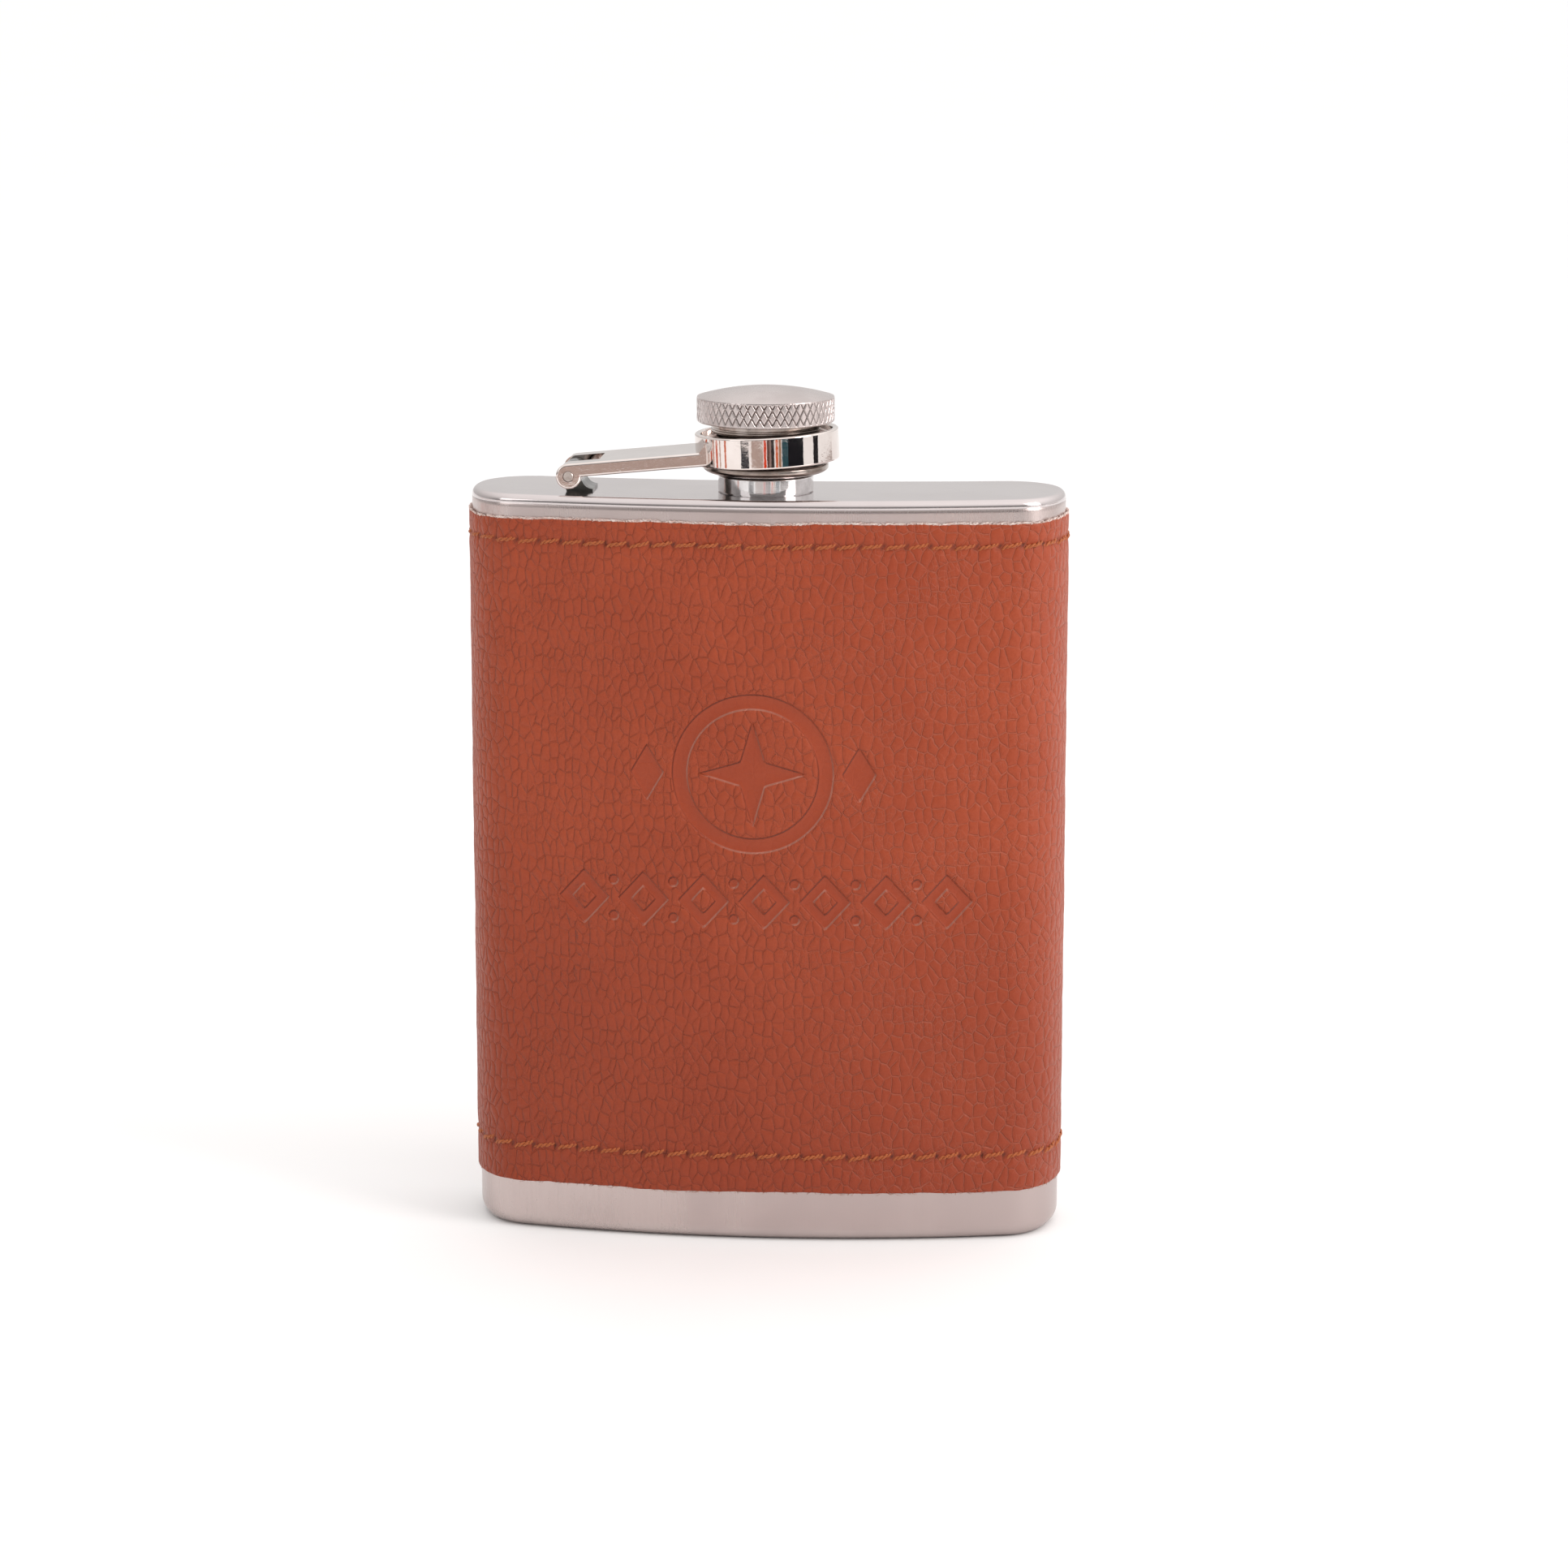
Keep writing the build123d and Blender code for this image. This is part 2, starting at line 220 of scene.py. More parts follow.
def wander(x, amplitude, wavelength, seed):
    """A smooth random line: a few sines of unlike lengths."""
    draw = np.random.default_rng(seed)
    total = np.zeros_like(x, dtype=float)
    for share in (1.0, 0.55, 0.34, 0.21):
        total += share * np.sin(tau * x / (wavelength * share) + draw.uniform(0, tau))
    return amplitude * total / 1.6


def soften(corners, steps=5):
    """Points of a closed profile whose corners (radius, height, rounding) are rounded."""
    points = []
    count = len(corners)
    for k, (r, z, rounding) in enumerate(corners):
        corner = np.array([r, z], float)
        if rounding == 0:
            points.append(corner)
            continue
        back = np.array(corners[k - 1][:2], float) - corner
        ahead = np.array(corners[(k + 1) % count][:2], float) - corner
        back /= np.hypot(*back)
        ahead /= np.hypot(*ahead)
        half = np.arccos(np.clip(back @ ahead, -1, 1)) / 2
        reach = rounding / np.tan(half)
        middle = back + ahead
        centre = corner + middle / np.hypot(*middle) * rounding / np.sin(half)
        first = corner + back * reach - centre
        last = corner + ahead * reach - centre
        for step in range(steps + 1):
            ray = first + (last - first) * step / steps
            points.append(centre + ray / np.hypot(*ray) * rounding)
    return np.array(points)


def quads(columns, rows, round_columns=True, round_rows=True):
    """Faces of a grid whose vertex number is column * rows + row."""
    i, j = np.meshgrid(np.arange(columns if round_columns else columns - 1),
                       np.arange(rows if round_rows else rows - 1), indexing="ij")
    i, j = i.ravel(), j.ravel()
    right, up = (i + 1) % columns, (j + 1) % rows
    return np.stack([i * rows + j, right * rows + j, right * rows + up, i * rows + up], -1)


def make_piece(name, points, faces, materials, sharp=35, material_index=None, facts=None):
    """A mesh piece from points in millimetres, with smooth faces and crisp edges."""
    mesh = bpy.data.meshes.new(name)
    mesh.from_pydata(np.asarray(points).reshape(-1, 3) * MM, [], [tuple(face) for face in faces])
    for material in materials:
        mesh.materials.append(material)
    if material_index is not None:
        mesh.polygons.foreach_set("material_index", np.asarray(material_index, np.int32))
    for key, values in (facts or {}).items():
        values = np.asarray(values, np.float32)
        kind = "FLOAT_VECTOR" if values.ndim > 1 else "FLOAT"
        layer = mesh.attributes.new(key, kind, "POINT")
        layer.data.foreach_set("vector" if values.ndim > 1 else "value", values.ravel())
    mesh.shade_smooth()
    mesh.set_sharp_from_angle(angle=radians(sharp))
    piece = bpy.data.objects.new(name, mesh)
    bpy.context.scene.collection.objects.link(piece)
    return piece


def weld(piece):
    """Joins the points that meet on the axis, and points every face outward."""
    form = bmesh.new()
    form.from_mesh(piece.data)
    bmesh.ops.remove_doubles(form, verts=form.verts, dist=1e-7)
    bmesh.ops.recalc_face_normals(form, faces=form.faces)
    form.to_mesh(piece.data)
    form.free()


def even_shading(piece):
    """Flat faces stay flat beside small roundings."""
    modifier = piece.modifiers.new("weighted_normals", "WEIGHTED_NORMAL")
    modifier.weight = 100
    modifier.keep_sharp = True


def stand_for(piece, node, body):
    """Hides the CAD node that a piece replaces, and puts the piece on the body it rides on."""
    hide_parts(node)
    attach(piece, body)


def lathe(name, profile, segments, material, relief):
    """A turned piece; relief(turn, radius, height) moves its points in or out."""
    turn = np.arange(segments) * tau / segments
    radius = np.broadcast_to(profile[:, 0], (segments, len(profile)))
    height = np.broadcast_to(profile[:, 1], radius.shape)
    angle = np.broadcast_to(turn[:, None], radius.shape)
    shift = relief(angle, radius, height)
    radius = radius + shift
    points = np.stack([radius * np.cos(angle), radius * np.sin(angle), height + HEIGHT], -1)
    piece = make_piece(name, points, quads(segments, len(profile)), [material],
                       facts={"cut": np.abs(shift).ravel()})
    weld(piece)
    even_shading(piece)
    return piece


def tubes(paths, radii, hint, sides):
    """Points and faces of round strands along paths (strand, step, xyz)."""
    strands, steps = paths.shape[:2]
    along = np.gradient(paths, axis=1)
    along /= np.linalg.norm(along, axis=-1, keepdims=True)
    across = np.cross(along, hint)
    across /= np.linalg.norm(across, axis=-1, keepdims=True)
    up = np.cross(across, along)
    turn = np.arange(sides) * tau / sides
    ring = across[:, :, None] * np.cos(turn)[:, None] + up[:, :, None] * np.sin(turn)[:, None]
    points = paths[:, :, None] + ring * np.broadcast_to(radii, (strands, steps))[:, :, None, None]
    wall = quads(steps, sides, round_columns=False)
    faces = []
    for strand in range(strands):
        start = strand * steps * sides
        faces.extend((wall[:, ::-1] + start).tolist())
        faces.append([start + side for side in range(sides)][::-1])
        faces.append([start + (steps - 1) * sides + side for side in range(sides)])
    return points.reshape(-1, 3), faces


# ---- node helpers
def add(tree, kind, settings=None, **inputs):
    """A node with its settings and inputs, by name or as i0, i1; a given socket is linked."""
    made = tree.nodes.new(kind)
    for key, value in (settings or {}).items():
        setattr(made, key, value)
    for key, value in inputs.items():
        place = int(key[1:]) if key[1:].isdigit() else key.replace("_", " ")
        socket = made.inputs[place]
        if isinstance(value, bpy.types.NodeSocket):
            tree.links.new(value, socket)
        else:
            socket.default_value = value
    return made


def sums(tree, operation, *values, clamp=False):
    """One operation on numbers."""
    given = {f"i{k}": value for k, value in enumerate(values)}
    node = add(tree, "ShaderNodeMath", {"operation": operation, "use_clamp": clamp}, **given)
    return node.outputs[0]


def vectors(tree, operation, *values):
    """One operation on vectors."""
    given = {f"i{k}": value for k, value in enumerate(values)}
    return add(tree, "ShaderNodeVectorMath", {"operation": operation}, **given).outputs[0]


def ramp(tree, value, low, high, start=0.0, end=1.0):
    """Start to end, smoothly, as value goes from low to high."""
    node = add(tree, "ShaderNodeMapRange", {"interpolation_type": "SMOOTHSTEP"}, Value=value,
               From_Min=low, From_Max=high, To_Min=start, To_Max=end)
    return node.outputs[0]


def noise(tree, vector, scale=1.0, detail=3.0, rough=0.55, output=0):
    """Noise as a number, or as a vector from its output "Color"."""
    node = add(tree, "ShaderNodeTexNoise", Vector=vector, Scale=scale, Detail=detail,
               Roughness=rough)
    return node.outputs[output]


def cell_edge(tree, vector, scale, randomness):
    """Distance to the nearest edge of a pattern of cells."""
    node = add(tree, "ShaderNodeTexVoronoi",
               {"voronoi_dimensions": "2D", "feature": "DISTANCE_TO_EDGE"},
               Vector=vector, Scale=scale, Randomness=randomness)
    return node.outputs["Distance"]


def tint(tree, amount, first, second):
    """Two colours, or a colour over another, mixed by amount."""
    node = add(tree, "ShaderNodeMix", {"data_type": "RGBA"}, i0=amount)
    for index, colour in ((6, first), (7, second)):
        if isinstance(colour, bpy.types.NodeSocket):
            tree.links.new(colour, node.inputs[index])
        else:
            node.inputs[index].default_value = (*colour, 1)
    return node.outputs[2]


def finish(tree, shader, colour, rough, relief, depth):
    """Links a shader's colour, roughness and relief, which is depth millimetres high."""
    tree.links.new(colour, shader.inputs["Base Color"])
    tree.links.new(rough, shader.inputs["Roughness"])
    pushed = add(tree, "ShaderNodeBump", Height=relief, Distance=depth * MM, Strength=1.0)
    tree.links.new(pushed.outputs[0], shader.inputs["Normal"])


def new_look(name, **uniform):
    """An empty node material and its shader, with the values that are the same all over."""
    material = bpy.data.materials.new(name)
    material.use_nodes = True
    tree = material.node_tree
    shader = tree.nodes["Principled BSDF"]
    for key, value in uniform.items():
        shader.inputs[key.replace("_", " ")].default_value = value
    return material, tree, shader


def where(tree):
    """Object coordinates in millimetres."""
    place = add(tree, "ShaderNodeTexCoord").outputs["Object"]
    return vectors(tree, "MULTIPLY", place, (1 / MM, 1 / MM, 1 / MM))


def fact(tree, name, output="Fac"):
    """A mesh attribute."""
    return add(tree, "ShaderNodeAttribute", {"attribute_name": name}).outputs[output]


# ---- looks
def metal(name, light, dark, shine, brush, brush_depth, smear_size, scuff, groove_shade=None):
    """Steel or chrome: brushed streaks, broad smears, fine scuffs and painted shade in the cuts.

    shine is its roughness, least and most, and brush the streaks' stretch along each axis.
    """
    material, tree, shader = new_look(name, Metallic=1.0)
    place = where(tree)
    streaks = noise(tree, vectors(tree, "MULTIPLY", place, brush), 1.0, 5.0, 0.62)
    smears = noise(tree, place, 1.0 / smear_size, 3.0, 0.6)
    cloud = ramp(tree, smears, 0.35, 0.68)
    colour = tint(tree, cloud, light, dark)
    colour = tint(tree, ramp(tree, streaks, 0.42, 0.75, 0.0, 0.35), colour, dark)
    # Painted shade: the cuts' depths darkened toward groove_shade
    if groove_shade:
        colour = tint(tree, ramp(tree, fact(tree, "cut"), 0.04, 0.22, 0.0, 0.7), colour, groove_shade)
    low, high = shine
    rough = sums(tree, "MULTIPLY_ADD", streaks, (high - low) * 0.9,
                 sums(tree, "MULTIPLY_ADD", cloud, (high - low) * 0.5, low - (high - low) * 0.15))
    specks = noise(tree, place, 2.6, 2.0, 0.7)
    rough = sums(tree, "ADD", rough, ramp(tree, specks, 0.64, 0.78, 0.0, scuff))
    finish(tree, shader, colour, rough, streaks, brush_depth)
    return material


body_look = metal("brushed_body_steel", (0.56, 0.475, 0.455), (0.49, 0.41, 0.395), (0.22, 0.34),
                  (5.0, 5.0, 0.12), 0.005, 26.0, scuff=0.06)
lid_look = metal("polished_plate_steel", (0.66, 0.6, 0.595), (0.61, 0.55, 0.545), (0.1, 0.17),
                 (0.25, 4.0, 4.0), 0.0018, 24.0, scuff=0.04)
neck_look = metal("turned_neck_steel", (0.76, 0.74, 0.74), (0.58, 0.56, 0.56), (0.06, 0.15),
                  (0.5, 0.5, 9.0), 0.002, 4.0, scuff=0.1)
chrome_look = metal("chrome_plate", (0.8, 0.725, 0.69), (0.74, 0.66, 0.625), (0.02, 0.05),
                    (0.9, 0.9, 0.9), 0.007, 5.0, scuff=0.05)
# The hinge lug: its dark base colour is painted shade and painted reflection between arm and plate
lug_shade_look = metal("lug_steel_painted_shade", (0.16, 0.15, 0.14), (0.06, 0.06, 0.055), (0.12, 0.25),
                 (3.0, 0.5, 3.0), 0.006, 3.0, scuff=0.1)
pin_look = metal("pin_steel", (0.62, 0.55, 0.51), (0.42, 0.36, 0.33), (0.14, 0.24),
                 (2.0, 0.5, 2.0), 0.006, 1.5, scuff=0.1)
# The cap's sleeve: steel darkened with painted shade of the gap between head and arm ring
sleeve_shade_look = metal("sleeve_steel_painted_shade", (0.42, 0.36, 0.33), (0.27, 0.22, 0.19), (0.12, 0.22),
                    (0.5, 0.5, 9.0), 0.003, 4.0, scuff=0.08)
# The knurl's cuts on the cap carry painted shade
cap_look = metal("satin_cap_steel", (0.61, 0.54, 0.525), (0.53, 0.465, 0.45), (0.22, 0.33),
                 (3.0, 3.0, 3.0), 0.004, 8.0, scuff=0.06, groove_shade=(0.2, 0.165, 0.15))

HALF_GREY = (0.5, 0.5, 0.5)
# Noise of two scales bends the grain's cells by so many cells
GRAIN_DRIFT = ((0.33, (0.6, 0.42, 0.0)), (1.6, (0.07, 0.05, 0.0)))
PILLOW_HEIGHT = 0.045
CREASE_DEPTH = 0.07
SMALL_CREASE_DEPTH = 0.022
SHADED_GRAIN = 2.0     # times the grain's height, in the material's bump
MODELLED_GRAIN = 0.25  # times it, in the mesh


def grain_height(tree, cells, sheet):
    """Leather relief in millimetres, and a mask of its folds, from the grain's coordinates."""
    for scale, reach in GRAIN_DRIFT:
        drift = vectors(tree, "SUBTRACT", noise(tree, sheet, scale, 2.0, 0.6, "Color"), HALF_GREY)
        cells = vectors(tree, "MULTIPLY_ADD", drift, reach, cells)
    edge = cell_edge(tree, cells, 1.0, 0.82)
    small_edge = cell_edge(tree, cells, 1.9, 1.0)
    patchy = ramp(tree, noise(tree, sheet, 0.12, 2.0), 0.4, 0.62)
    faint = ramp(tree, noise(tree, sheet, 0.45, 2.0), 0.34, 0.6, 0.35, 1.0)
    groove = sums(tree, "SUBTRACT", 1.0, ramp(tree, edge, 0.0, 0.09))
    crease = sums(tree, "SUBTRACT", 1.0, sums(tree, "MULTIPLY", groove, faint))
    pillow = ramp(tree, edge, 0.0, 0.38)
    line = sums(tree, "MULTIPLY", ramp(tree, edge, 0.0, 0.065, 1.0, 0.0), faint)
    small_crease = sums(tree, "MULTIPLY", ramp(tree, small_edge, 0.0, 0.11, 1.0, 0.0), patchy)
    height = sums(tree, "MULTIPLY_ADD", pillow, PILLOW_HEIGHT,
                  sums(tree, "MULTIPLY", crease, CREASE_DEPTH))
    height = sums(tree, "MULTIPLY_ADD", small_crease, -SMALL_CREASE_DEPTH, height)
    return height, sums(tree, "MAXIMUM", line, sums(tree, "MULTIPLY", small_crease, 0.45))


# Leather colours
TAN = (0.305, 0.0435, 0.0108)
TAN_LIGHT = (0.35, 0.055, 0.0157)
TAN_MOTTLE = (0.265, 0.036, 0.0095)
# Painted shade: the leather's colour towards the bottom
LOW_PAINTED_SHADE = (0.24, 0.0325, 0.0092)
# Painted shade in the folds, turning to painted highlight on them toward the right
FOLD_PAINTED_SHADE = (0.12, 0.015, 0.007)
FOLD_PAINTED_HIGHLIGHT = (0.56, 0.2, 0.135)
PRESSED = (0.28, 0.038, 0.0115)
# Painted highlight and painted shade for the motif's rims
RIM_LIT = (0.62, 0.3, 0.23)
RIM_SHADED = (0.1, 0.016, 0.008)
# Painted shade in the stitch holes
STITCH_HOLE_SHADE = (0.03, 0.009, 0.006)
STAIN = (0.045, 0.03, 0.03)
FOLD_LIGHT_FROM, FOLD_LIGHT_TO = -12.0, 26.0  # across the sheet, where the folds' painted shade turns to painted highlight


def leather():
    """Coated pebbled leather: cells between creases, a smooth pressed motif, holes in painted
    shade.
    """
    material, tree, shader = new_look("pebbled_leather", Specular_IOR_Level=0.32,
                                      Sheen_Weight=0.13, Sheen_Roughness=0.45,
                                      Sheen_Tint=(1.0, 0.75, 0.66, 1))
    sheet = fact(tree, "sheet", "Vector")
    press = fact(tree, "press")
    height, line = grain_height(tree, fact(tree, "grain", "Vector"), sheet)
    pressed = ramp(tree, press, -0.15, 0.25, 1.0, 0.0)
    open_grain = sums(tree, "SUBTRACT", 1.0, sums(tree, "MULTIPLY", pressed, 0.85))
    broad = noise(tree, sheet, 0.035, 3.0, 0.6)
    fine = noise(tree, sheet, 1.7, 4.0, 0.65)
    across, up = add(tree, "ShaderNodeSeparateXYZ", i0=sheet).outputs[:2]
    colour = tint(tree, ramp(tree, broad, 0.3, 0.7), TAN, TAN_LIGHT)
    colour = tint(tree, ramp(tree, fine, 0.35, 0.75, 0.0, 0.4), colour, TAN_MOTTLE)
    # Painted shade, darker towards the bottom of the sheet
    colour = tint(tree, ramp(tree, up, 75.0, 8.0, 0.0, 0.55), colour, LOW_PAINTED_SHADE)

    folds = sums(tree, "MULTIPLY", line, open_grain)
    # Folds: painted shade on the left turning to painted highlight on the right
    fold_shade_and_highlight = tint(tree, ramp(tree, across, FOLD_LIGHT_FROM, FOLD_LIGHT_TO), FOLD_PAINTED_SHADE, FOLD_PAINTED_HIGHLIGHT)
    fold_strength = ramp(tree, across, FOLD_LIGHT_FROM, FOLD_LIGHT_TO, 0.13, 0.27)
    colour = tint(tree, sums(tree, "MULTIPLY", folds, fold_strength), colour, fold_shade_and_highlight)
    colour = tint(tree, sums(tree, "MULTIPLY", pressed, 0.35), colour, PRESSED)

    # Painted highlight on rims that face the light, painted shade on rims turned from it
    rim = ramp(tree, sums(tree, "ABSOLUTE", press), 0.2, 0.04)
    rim_side = fact(tree, "rim_side")
    lit = sums(tree, "MULTIPLY", rim, ramp(tree, rim_side, 0.1, 0.8, 0.0, 0.5))
    shaded = sums(tree, "MULTIPLY", rim, ramp(tree, rim_side, -0.1, -0.8, 0.0, 0.6))
    colour = tint(tree, lit, colour, RIM_LIT)
    colour = tint(tree, shaded, colour, RIM_SHADED)
    # Painted shade in the stitch holes
    hole = sums(tree, "MULTIPLY", fact(tree, "hole"), 0.9, clamp=True)
    colour = tint(tree, hole, colour, STITCH_HOLE_SHADE)
    stain = sums(tree, "MULTIPLY", fact(tree, "scuffed"),
                 ramp(tree, noise(tree, sheet, 0.9, 3.0, 0.75), 0.56, 0.7))
    colour = tint(tree, sums(tree, "MULTIPLY", stain, 0.55), colour, STAIN)

    rough = ramp(tree, fine, 0.3, 0.75, 0.44, 0.6)
    rough = sums(tree, "MULTIPLY_ADD", folds, 0.12, rough)
    rough = sums(tree, "MULTIPLY_ADD", pressed, -0.06, rough)
    pores = noise(tree, sheet, 6.0, 3.0, 0.7)
    skin = sums(tree, "MULTIPLY", sums(tree, "MULTIPLY", height, SHADED_GRAIN), open_grain)
    skin = sums(tree, "MULTIPLY_ADD", pores, 0.02, skin)
    skin = sums(tree, "ADD", skin, ramp(tree, press, -0.12, 0.1, 0.0, 0.15))
    finish(tree, shader, colour, rough, skin, 1.0)
    return material


def mottled(name, pattern, colours, shine, depth, edges=((0.3, 0.7), (0.2, 0.8)), **uniform):
    """A material of one noise: two colours, a range of roughness and a fine relief.

    pattern is the noise's stretch, scale, detail and roughness, and edges say between which
    of its values the colours and the roughness change.
    """
    material, tree, shader = new_look(name, **uniform)
    stretch, scale, detail, rough = pattern
    tones = noise(tree, vectors(tree, "MULTIPLY", where(tree), stretch), scale, detail, rough)
    colour = tint(tree, ramp(tree, tones, *edges[0]), *colours)
    finish(tree, shader, colour, ramp(tree, tones, *edges[1], *shine), tones, depth)
    return material


EVENLY = (1.0, 1.0, 1.0)
leather_look = leather()
# The cut edge and flesh side: pale, matt and fibrous
raw_look = mottled("raw_leather_edge", ((1.2, 1.2, 5.0), 2.0, 5.0, 0.7),
                   ((0.3, 0.13, 0.09), (0.6, 0.4, 0.33)), (0.75, 0.95), 0.12,
                   Specular_IOR_Level=0.15)
# Waxed two-ply thread, with fine fibres along each strand
thread_look = mottled("waxed_thread", ((7.0, 7.0, 16.0), 1.0, 3.0, 0.6),
                      ((0.25, 0.055, 0.012), (0.5, 0.13, 0.035)), (0.38, 0.62), 0.03,
                      Specular_IOR_Level=0.35, Sheen_Weight=0.25, Sheen_Roughness=0.4,
                      Sheen_Tint=(1.0, 0.8, 0.6, 1))
# Loose fibres of the cut edge
fuzz_look = mottled("leather_fibre", (EVENLY, 1.4, 2.0, 0.55),
                    ((0.78, 0.58, 0.52), (0.92, 0.82, 0.77)), (0.7, 0.9), 0.02,
                    edges=((0.35, 0.65), (0.3, 0.7)), Specular_IOR_Level=0.2, Sheen_Weight=0.3)
# The seal: dull off-white silicone
rubber_look = mottled("seal_rubber", (EVENLY, 2.2, 4.0, 0.6),
                      ((0.5, 0.48, 0.45), (0.64, 0.62, 0.58)), (0.45, 0.65), 0.02,
                      Specular_IOR_Level=0.4)

# ---- steel body
BODY_COLUMNS = 420
around = (np.arange(BODY_COLUMNS) + 0.5) / BODY_COLUMNS * 2 * HALF_ROUND - HALF_ROUND


def carried(profile):
    """Points of a profile (grow, height) carried round the body's outline."""
    grow = np.broadcast_to(profile[:, 0], (BODY_COLUMNS, len(profile)))
    s = np.broadcast_to(around[:, None], grow.shape)
    return place_on_body(s, grow, np.broadcast_to(profile[:, 1], grow.shape))


def swept(name, profile, material, node):
    """A closed profile carried round the body's outline."""
    piece = make_piece(name, carried(profile), quads(BODY_COLUMNS, len(profile)), [material])
    even_shading(piece)
    stand_for(piece, node, "flask")


def capped(name, outer_profile, inner_points, materials, node, skirt_rows=()):
    """A pressed plate: a profile round the outline, closed by inner_points or by two flat faces.

    The faces that start at skirt_rows take the second material.
    """
    points = carried(outer_profile)
    if inner_points is not None:
        points = np.concatenate([points, inner_points], 1)
    rows = points.shape[1]
    faces = quads(BODY_COLUMNS, rows, round_rows=inner_points is not None).tolist()
    if inner_points is None:
        faces.append([column * rows for column in range(BODY_COLUMNS)])
        faces.append([column * rows + rows - 1 for column in range(BODY_COLUMNS)][::-1])
    looks = [1 if face[0] % rows in skirt_rows and len(face) == 4 else 0 for face in faces]
    piece = make_piece(name, points, faces, materials, material_index=looks)
    weld(piece)
    even_shading(piece)
    stand_for(piece, node, "flask")


swept("steel_tube", np.array([
    (0, BASE_SKIRT), (0, 40), (0, 80), (0, HEIGHT - TOP_SKIRT),
    (-WALL, HEIGHT - TOP_SKIRT), (-WALL, BASE_SKIRT),
]), body_look, "body_shell")


def quarter(radius, steps, first, last, centre):
    """Points of an arc from the first to the last turn."""
    turn = np.linspace(first, last, steps)
    return np.stack([centre[0] + radius * np.cos(turn), centre[1] + radius * np.sin(turn)], -1)


ROUND_START = HEIGHT - TOP_FILLET
LID_GROOVE = (0, -LID_GROOVE_DEPTH, -LID_GROOVE_DEPTH, 0)
lid_edge = np.concatenate([
    [(-WALL, HEIGHT - TOP_SKIRT), (0, HEIGHT - TOP_SKIRT)],
    [(grow, ROUND_START - below) for grow, below in zip(LID_GROOVE, LID_GROOVE_ROWS)],
    quarter(TOP_FILLET, 12, 0, pi / 2, (-TOP_FILLET, ROUND_START)),
    [(-TOP_FILLET - 0.15, HEIGHT), (-TOP_FILLET - LID_FLAT, HEIGHT)],
])
lid_under = np.array([(-TOP_FILLET - LID_FLAT, HEIGHT - PLATE), (-WALL, HEIGHT - PLATE)])
outline_points, _ = plan(around)
hole_turn = np.arctan2(outline_points[:, 1], outline_points[:, 0])
hole = SPIGOT_HOLE * np.stack([np.cos(hole_turn), np.sin(hole_turn)], -1)
rims = [np.concatenate([hole, np.full((BODY_COLUMNS, 1), height)], -1)[:, None]
        for height in (HEIGHT, HEIGHT - PLATE)]
lid_inside = np.concatenate([*rims, carried(lid_under)], 1)
capped("steel_lid", lid_edge, lid_inside, [lid_look, body_look], "top_plate", skirt_rows=(0, 1))

base_profile = np.concatenate([
    [(-BASE_FILLET - BASE_FLAT, 0), (-BASE_FILLET - 0.3, 0)],
    quarter(BASE_FILLET, 14, -pi / 2, 0, (-BASE_FILLET, BASE_FILLET)),
    [(0, BASE_SKIRT), (-WALL, BASE_SKIRT), (-WALL, BASE_FILLET)],
    quarter(BASE_FILLET - PLATE, 6, 0, -pi / 2, (-BASE_FILLET, BASE_FILLET))[1:],
    [(-BASE_FILLET - BASE_FLAT, PLATE)],
])
capped("steel_base", base_profile, None, [body_look], "bottom_plate")


# ---- neck and cap
def helix(turn, height, pitch):
    """Height of a V-shaped thread, 0 to 1, where it passes this turn and height."""
    phase = (height / pitch - turn / tau) % 1.0
    return 1 - np.abs(2 * phase - 1)


def neck_thread(turn, radius, height):
    """A rolled thread between the neck's plain part and its lead-in."""
    window = (smooth((height - THREAD_START) / THREAD_FADE)
              * smooth((THREAD_END + 0.1 - height) / THREAD_FADE))
    rise = smooth(helix(turn, height, THREAD_PITCH) * 1.25 - 0.15)
    outside = radius > (NECK_RADIUS - 0.05)
    return np.where(outside, (THREAD_RADIUS - NECK_RADIUS) * rise * window, 0)


neck_rows = [(NECK_RADIUS, height, 0)
             for height in np.arange(THREAD_START - 0.1, NECK_TOP - 0.35, 0.09)]
neck_profile = soften([
    (MOUTH_RADIUS, -SPIGOT_DEPTH, 0), (SPIGOT_RADIUS, -SPIGOT_DEPTH, 0), (SPIGOT_RADIUS, 0, 0),
    (COLLAR_RADIUS - FOOT_DEPTH, 0, 0), (COLLAR_RADIUS - FOOT_DEPTH, FOOT_LINE, 0),
    (COLLAR_RADIUS, FOOT_LINE, 0.03), (COLLAR_RADIUS, COLLAR_HEIGHT, 0.25),
    (NECK_RADIUS, COLLAR_HEIGHT, 0.15), *neck_rows,
    (NECK_RADIUS, NECK_TOP, 0.2), (MOUTH_RADIUS, NECK_TOP, 0.2),
])
stand_for(lathe("spout", neck_profile, TURNED_SEGMENTS, neck_look, neck_thread),
          "spout_neck", "flask")


def sleeve_thread(turn, radius, height):
    """The cap's thread, cut outward into its bore."""
    window = (smooth((height - CAP_BOTTOM - 0.2) / THREAD_FADE)
              * smooth((CAP_CEILING - 0.9 - height) / THREAD_FADE))
    inside = np.abs(radius - CAP_BORE) < 0.01
    rise = smooth(helix(turn, height, THREAD_PITCH))
    return np.where(inside, CAP_THREAD_DEPTH * rise * window, 0)


def hermite(start, end, leave, reach, steps):
    """Inner points of a curve that leaves start and reaches end along the two slopes."""
    t = np.linspace(0, 1, steps)[1:-1, None]
    start, end, leave, reach = np.array([start, end, leave, reach], float)
    return ((2 * t**3 - 3 * t**2 + 1) * start + (t**3 - 2 * t**2 + t) * leave
            + (-2 * t**3 + 3 * t**2) * end + (t**3 - t**2) * reach)


